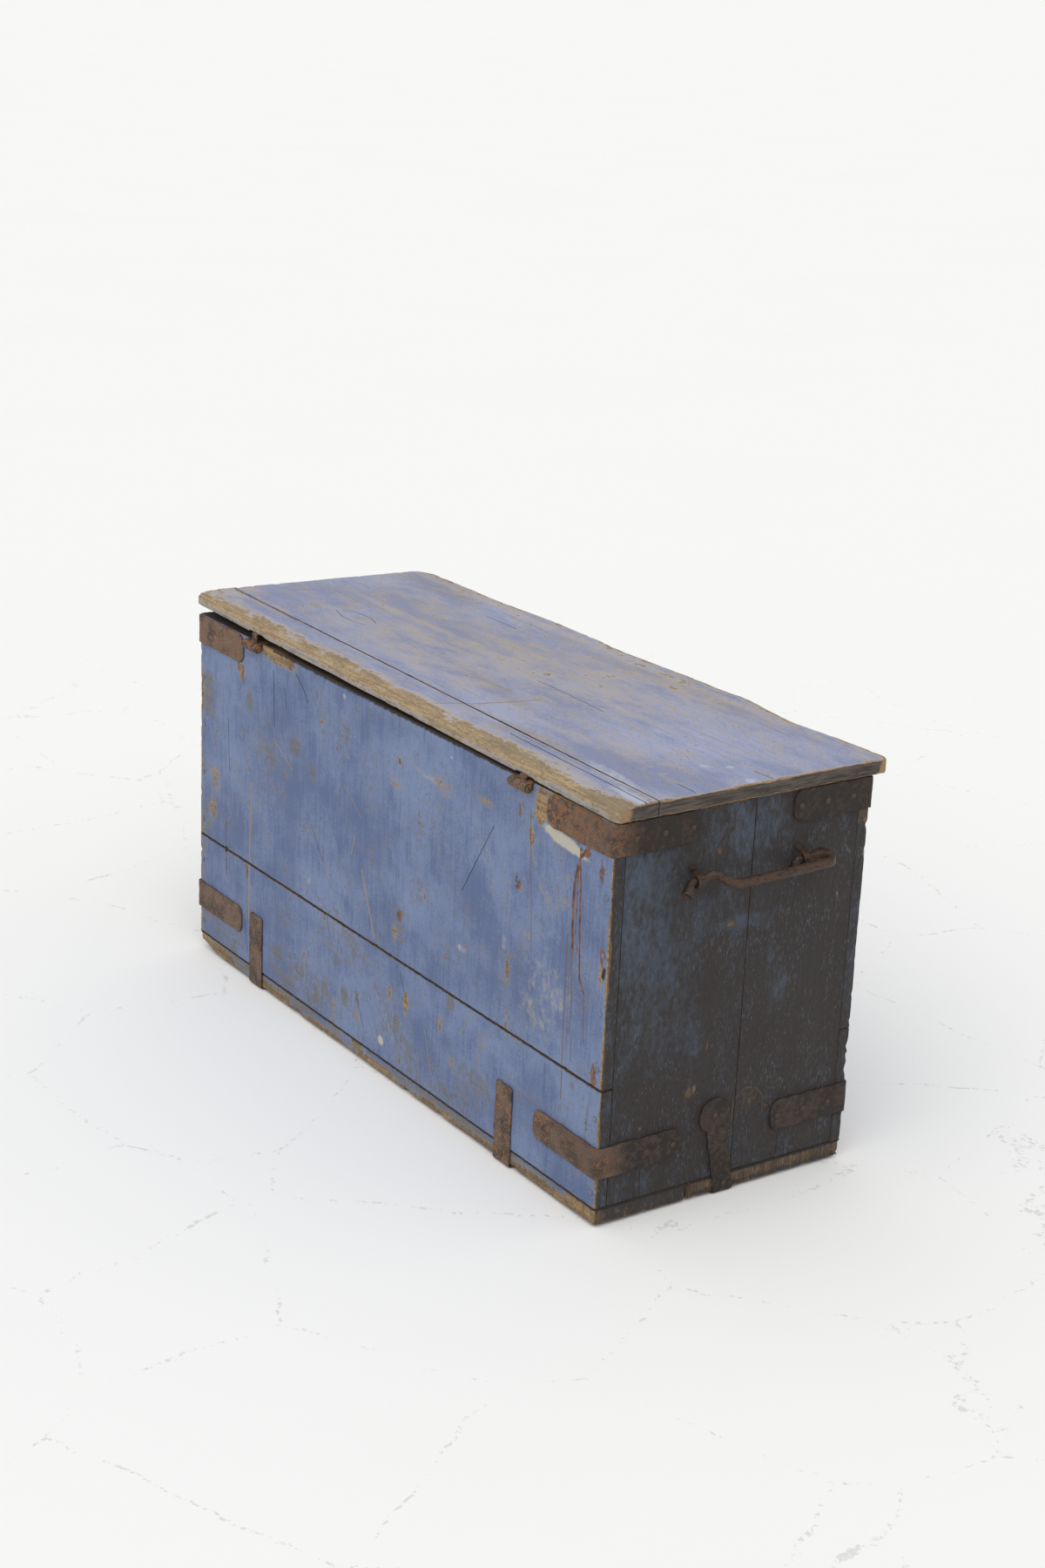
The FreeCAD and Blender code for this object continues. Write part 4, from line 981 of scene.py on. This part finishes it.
battenLook = dict(insideLook, sizes={"grain": (5, 140, 5), "broad": (60, 90, 60), "grit": (1.6, 9, 1.6)})
for side in ("left", "right"):
    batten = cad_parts["lid_batten_" + side]
    batten.material_slots[0].material = bareSoftwood("aged_bare_pine_batten_" + side, battenLook)
    addModifier(batten, "soft edges", "BEVEL", width=0.0012, segments=2)
print("lid made")

# Handles: one forged rod each, drawn down under the hammer, so its thickness and its flats vary
handle = {
    # mm from the hinge side, mm out from the boards, mm above the staples' middle, bend, radius
    "route": [
        (86.0, 21.0, -11.0, 0, 6.6), (92.5, 16.5, -5.5, 12, 5.4), (99.0, 12.0, 0.0, 8, 4.5),
        (115.5, 12.0, 0.0, 8, 4.4), (126.0, 15.5, 7.2, 9, 4.6), (145.0, 29.5, -5.5, 24, 5.5),
        (210.0, 30.3, -4.5, 60, 5.5), (284.5, 30.0, -2.0, 9.5, 6.2), (284.5, 12.5, 2.5, 9.5, 6.8),
        (265.0, 12.0, 0.0, 8, 4.4), (245.5, 12.0, 0.0, 6, 4.4), (244.5, 6.0, -17.0, 0, 4.4),
    ],
    "step": 1.0, "ring": 20, "flats": 0.04, "lumps": 0.45, "hollow": 3.5, "hollowRadius": 3.4,
}


def softRoute(corners):
    # rounds each corner by its bend and reads places and radii off at even steps
    places, radii = [corners[0][:3]], [corners[0][4]]
    for before, corner, after in zip(corners, corners[1:], corners[2:]):
        here = Vector(corner[:3])
        back, on = Vector(before[:3]) - here, Vector(after[:3]) - here
        tangent = corner[3] * math.tan((math.pi - back.angle(on)) / 2)
        reach = min(tangent, 0.48 * back.length, 0.48 * on.length)
        for share in np.linspace(0, 1, 9):
            first = here + back.normalized() * reach * (1 - share)
            second = here + on.normalized() * reach * share
            places.append(tuple(first.lerp(second, share)))
            radii.append(corner[4])
    places.append(corners[-1][:3])
    radii.append(corners[-1][4])
    places = np.array(places)
    along = np.concatenate([[0], np.cumsum(np.linalg.norm(np.diff(places, axis=0), axis=1))])
    steps = np.linspace(0, along[-1], round(along[-1] / handle["step"]))
    line = np.stack([np.interp(steps, along, places[:, axis]) for axis in range(3)], -1)
    return line, np.interp(steps, along, radii)


def forgedRod(name, body, turned):
    # rings round the route, with a hollow in the near tip and the far tip rounded off
    low, high = boxOf("handle_staple_left_back")
    level = (low[2] + high[2]) / 2
    corners = []
    for along, out, up, bend, radius in handle["route"]:
        corners.append((leftX - out, backY - along, level + up, bend, radius))
    line, radii = softRoute(corners)
    count = handle["ring"]
    centres = [line[0]] * 3 + list(line) + [line[-1]] * 2
    first, last = line[1] - line[0], line[-1] - line[-2]
    first, last = first / np.linalg.norm(first), last / np.linalg.norm(last)
    centres[0] = line[0] + first * handle["hollow"]
    centres[2] = line[0] - first * 0.7
    centres[-2] = line[-1] + last * 1.4
    centres[-1] = line[-1] + last * 2.0
    sizes = [handle["hollowRadius"] * 0.8, handle["hollowRadius"], radii[0] * 0.85]
    sizes += list(radii) + [radii[-1] * 0.8, radii[-1] * 0.4]
    side = Vector((0, 0, 1))
    points = []
    for index, (centre, size) in enumerate(zip(centres, sizes)):
        place = min(max(index - 3, 0), len(line) - 2)
        ahead = Vector(line[place + 1] - line[place]).normalized()
        side = (side - ahead * side.dot(ahead)).normalized()
        up = ahead.cross(side)
        for step in range(count):
            angle = 2 * math.pi * step / count
            flat = 1 + handle["flats"] * math.cos(5 * angle + 0.02 * index)
            points.append(Vector(centre) + (side * math.cos(angle) + up * math.sin(angle)) * size * flat)
    points = np.array([tuple(p) for p in points])
    middles = np.repeat(np.array(centres, float), count, axis=0)
    dents = lumpsAt(points, (9, 14, 9), 51) + 0.5 * lumpsAt(points, (4, 5, 4), 53)
    outward = points - middles
    points = points + outward / np.linalg.norm(outward, axis=1)[:, None] * handle["lumps"] * dents[:, None]
    if turned:
        points = points * (-1, -1, 1) + (0, frontY + backY, 0)
    ring = np.arange(count)
    quads = []
    for index in range(len(centres) - 1):
        start = index * count
        after = (ring + 1) % count
        quads.append(np.stack([start + ring, start + after, start + count + after, start + count + ring], -1))
    cap = np.array([(i, i + 1, count - 2 - i, count - 1 - i) for i in range(count // 2 - 1)])
    quads = np.concatenate(quads + [cap[:, ::-1], cap + (len(centres) - 1) * count])
    piece = makeMesh(name + "_forged", points, quads, [0] * len(quads), [rodIron], {}, body)
    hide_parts(name)


forgedRod("handle_left", "left_handle", False)
forgedRod("handle_right", "right_handle", True)
print("handles made")

# Other iron: the CAD pieces themselves, remeshed finely so that the hammer's marks show
iron = {
    "strapVoxel": 1.0, "nailVoxel": 0.6,
    "strapLumps": 0.9, "lumpSize": 14, "waves": 3.2, "waveSize": 20,
    "wavySides": {"corner_strap_back": "Z", "corner_strap_front": "Z", "base_band": "X", "end_strap": "Y"},
}
hammered = bpy.data.textures.new("hammered", "CLOUDS")
hammered.noise_scale = iron["lumpSize"] / 1000
hammered.noise_depth = 3
uneven = bpy.data.textures.new("uneven", "CLOUDS")
uneven.noise_scale = iron["waveSize"] / 1000
for name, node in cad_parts.items():
    if any(part in name for part in ("plank", "board", "batten_l", "batten_r", "handle_l", "handle_r")):
        continue
    isNail = "nails" in name
    metal = nailIron if isNail else rodIron if "handle" in name else strapIron
    node.material_slots[0].material = paintedIron if name == "corner_nails" else metal
    isSmall = isNail or "pins" in name or "staple" in name
    voxel = iron["nailVoxel" if isSmall else "strapVoxel"] / 1000
    addModifier(node, "fine skin", "REMESH", mode="VOXEL", voxel_size=voxel, use_smooth_shade=True)
    addModifier(node, "soft edges", "SMOOTH", factor=0.5, iterations=2)
    if isNail:
        continue
    # iron that touches the floor only goes inward
    level = 0.95 if boxOf(name)[0][2] < 5 else 0.5
    dents = {"texture": hammered, "texture_coords": "LOCAL", "mid_level": level}
    addModifier(node, "dents", "DISPLACE", strength=iron["strapLumps"] / 1000, **dents)
    for part, axis in iron["wavySides"].items():
        if part in name:
            waves = {"texture": uneven, "texture_coords": "LOCAL", "direction": axis}
            addModifier(node, "wavy sides", "DISPLACE", strength=iron["waves"] / 1000, **waves)
print("iron made")

# Floor, light and camera
floorLook = {
    "inner": 2.0, "outer": 150, "sides": 96,  # two rings, their radii in metres
    "cellsPerMetre": 3.2, "colour": "#FBFBFA", "scuff": "#BDBAB5", "dust": "#F3F2F0",
}


def makeFloor():
    count = floorLook["sides"]
    points = [(0.0, 0.0, 0.0)]
    faces = []
    for radius in (floorLook["inner"], floorLook["outer"]):
        for step in range(count):
            angle = 2 * math.pi * step / count
            points.append((radius * math.cos(angle), radius * math.sin(angle), 0.0))
    for step in range(count):
        after = (step + 1) % count
        faces.append((0, 1 + step, 1 + after))
        faces.append((1 + step, 1 + count + step, 1 + count + after, 1 + after))
    mesh = bpy.data.meshes.new("floor")
    mesh.from_pydata(points, [], faces)
    floor = addObject("floor", mesh)
    return floor


# painted screed, matt and nearly white, with faint hairline scuffs
screed, tree, lumps = newMaterial(
    "white_painted_screed",
    {"broad": (700, 700, 700), "mid": (60, 60, 60), "fine": (6, 6, 6), "warp": (180, 180, 180)},
)
place = addNode(tree, "TexCoord").outputs["Object"]
warp = addNode(tree, "Mix", {0: 0.06, 6: place, 7: lumps["warp"].outputs[1]}, data_type="RGBA")
cracking = {"Vector": warp, "Scale": floorLook["cellsPerMetre"]}
cells = addNode(tree, "TexVoronoi", cracking, feature="DISTANCE_TO_EDGE")
hair = addNode(tree, "MapRange", {0: cells, 1: 0.008, 2: 0.003}, **softStep)
patchy = weighted(tree, -0.35, [(lumps["fine"], 1.0), (lumps["mid"], 0.7)])
dashes = addNode(tree, "MapRange", {0: patchy, 1: 0.55, 2: 0.62}, **softStep)
away = addNode(tree, "VectorMath", {0: place}, operation="LENGTH").outputs["Value"]
nearby = addNode(tree, "MapRange", {0: away, 1: 2.2, 2: 1.2, 4: 0.4}, **softStep)
scuffs = addNode(tree, "Math", {0: hair, 1: dashes}, operation="MULTIPLY")
scuffs = addNode(tree, "Math", {0: scuffs, 1: nearby}, operation="MULTIPLY")
layers = [(lumps["broad"], 0.5, 0.75, 0.12, floorLook["dust"]), (scuffs, floorLook["scuff"])]
surface = {
    "Base Color": stack(tree, floorLook["colour"], layers),
    "Roughness": 0.85,
    "Specular IOR Level": 0.15,
}
setInputs(tree, tree.nodes["Principled BSDF"], surface)
makeFloor().data.materials.append(screed)

# sunSpread in degrees
light = {"sky": 0.66, "backdrop": "#F8F8F8", "sun": 1.25, "sunSpread": 70, "sunPlace": (-1.6, 2.4, 3.6)}
world = bpy.data.worlds.new("studio")
bpy.context.scene.world = world
world.use_nodes = True
tree = world.node_tree
tree.nodes.clear()
rays = addNode(tree, "LightPath")
seen = rays.outputs["Is Camera Ray"]
for kind in ("Is Glossy Ray", "Is Transmission Ray"):
    seen = addNode(tree, "Math", {0: seen, 1: rays.outputs[kind]}, operation="MAXIMUM")
sky = addNode(tree, "Background", {"Color": "#FFFFFF", "Strength": light["sky"]})
backdrop = addNode(tree, "Background", {"Color": light["backdrop"], "Strength": 1.0})
both = addNode(tree, "MixShader", {0: seen, 1: sky, 2: backdrop})
addNode(tree, "OutputWorld", {"Surface": both})

# a very wide sun lights the whole floor evenly, as a big diffuser overhead does
lamp = bpy.data.lights.new("soft_light", "SUN")
lamp.angle = math.radians(light["sunSpread"])
lamp.energy = light["sun"]
lampObject = addObject("soft_light", lamp)
lampObject.location = light["sunPlace"]
lampObject.rotation_euler = (-lampObject.location).to_track_quat("-Z", "Y").to_euler()

# fitted to the edges of the box in the picture, place in metres
view = {
    "lens": 59.94,
    "place": (-2.54875, 1.75792, 1.40465),
    "right": (-0.56058, -0.82709, 0.04083),
    "up": (0.28796, -0.14848, 0.94606),
}
camera = addObject("camera", bpy.data.cameras.new("camera"))
camera.data.lens = view["lens"]
camera.data.sensor_width = 36
camera.data.clip_end = 400
right = Vector(view["right"]).normalized()
up = (Vector(view["up"]) - right * right.dot(Vector(view["up"]))).normalized()
turn = Matrix((right, up, right.cross(up))).transposed()
camera.matrix_world = Matrix.Translation(view["place"]) @ turn.to_4x4()
bpy.context.scene.camera = camera
bpy.context.scene.view_settings.view_transform = "Standard"
print("floor, light and camera made")
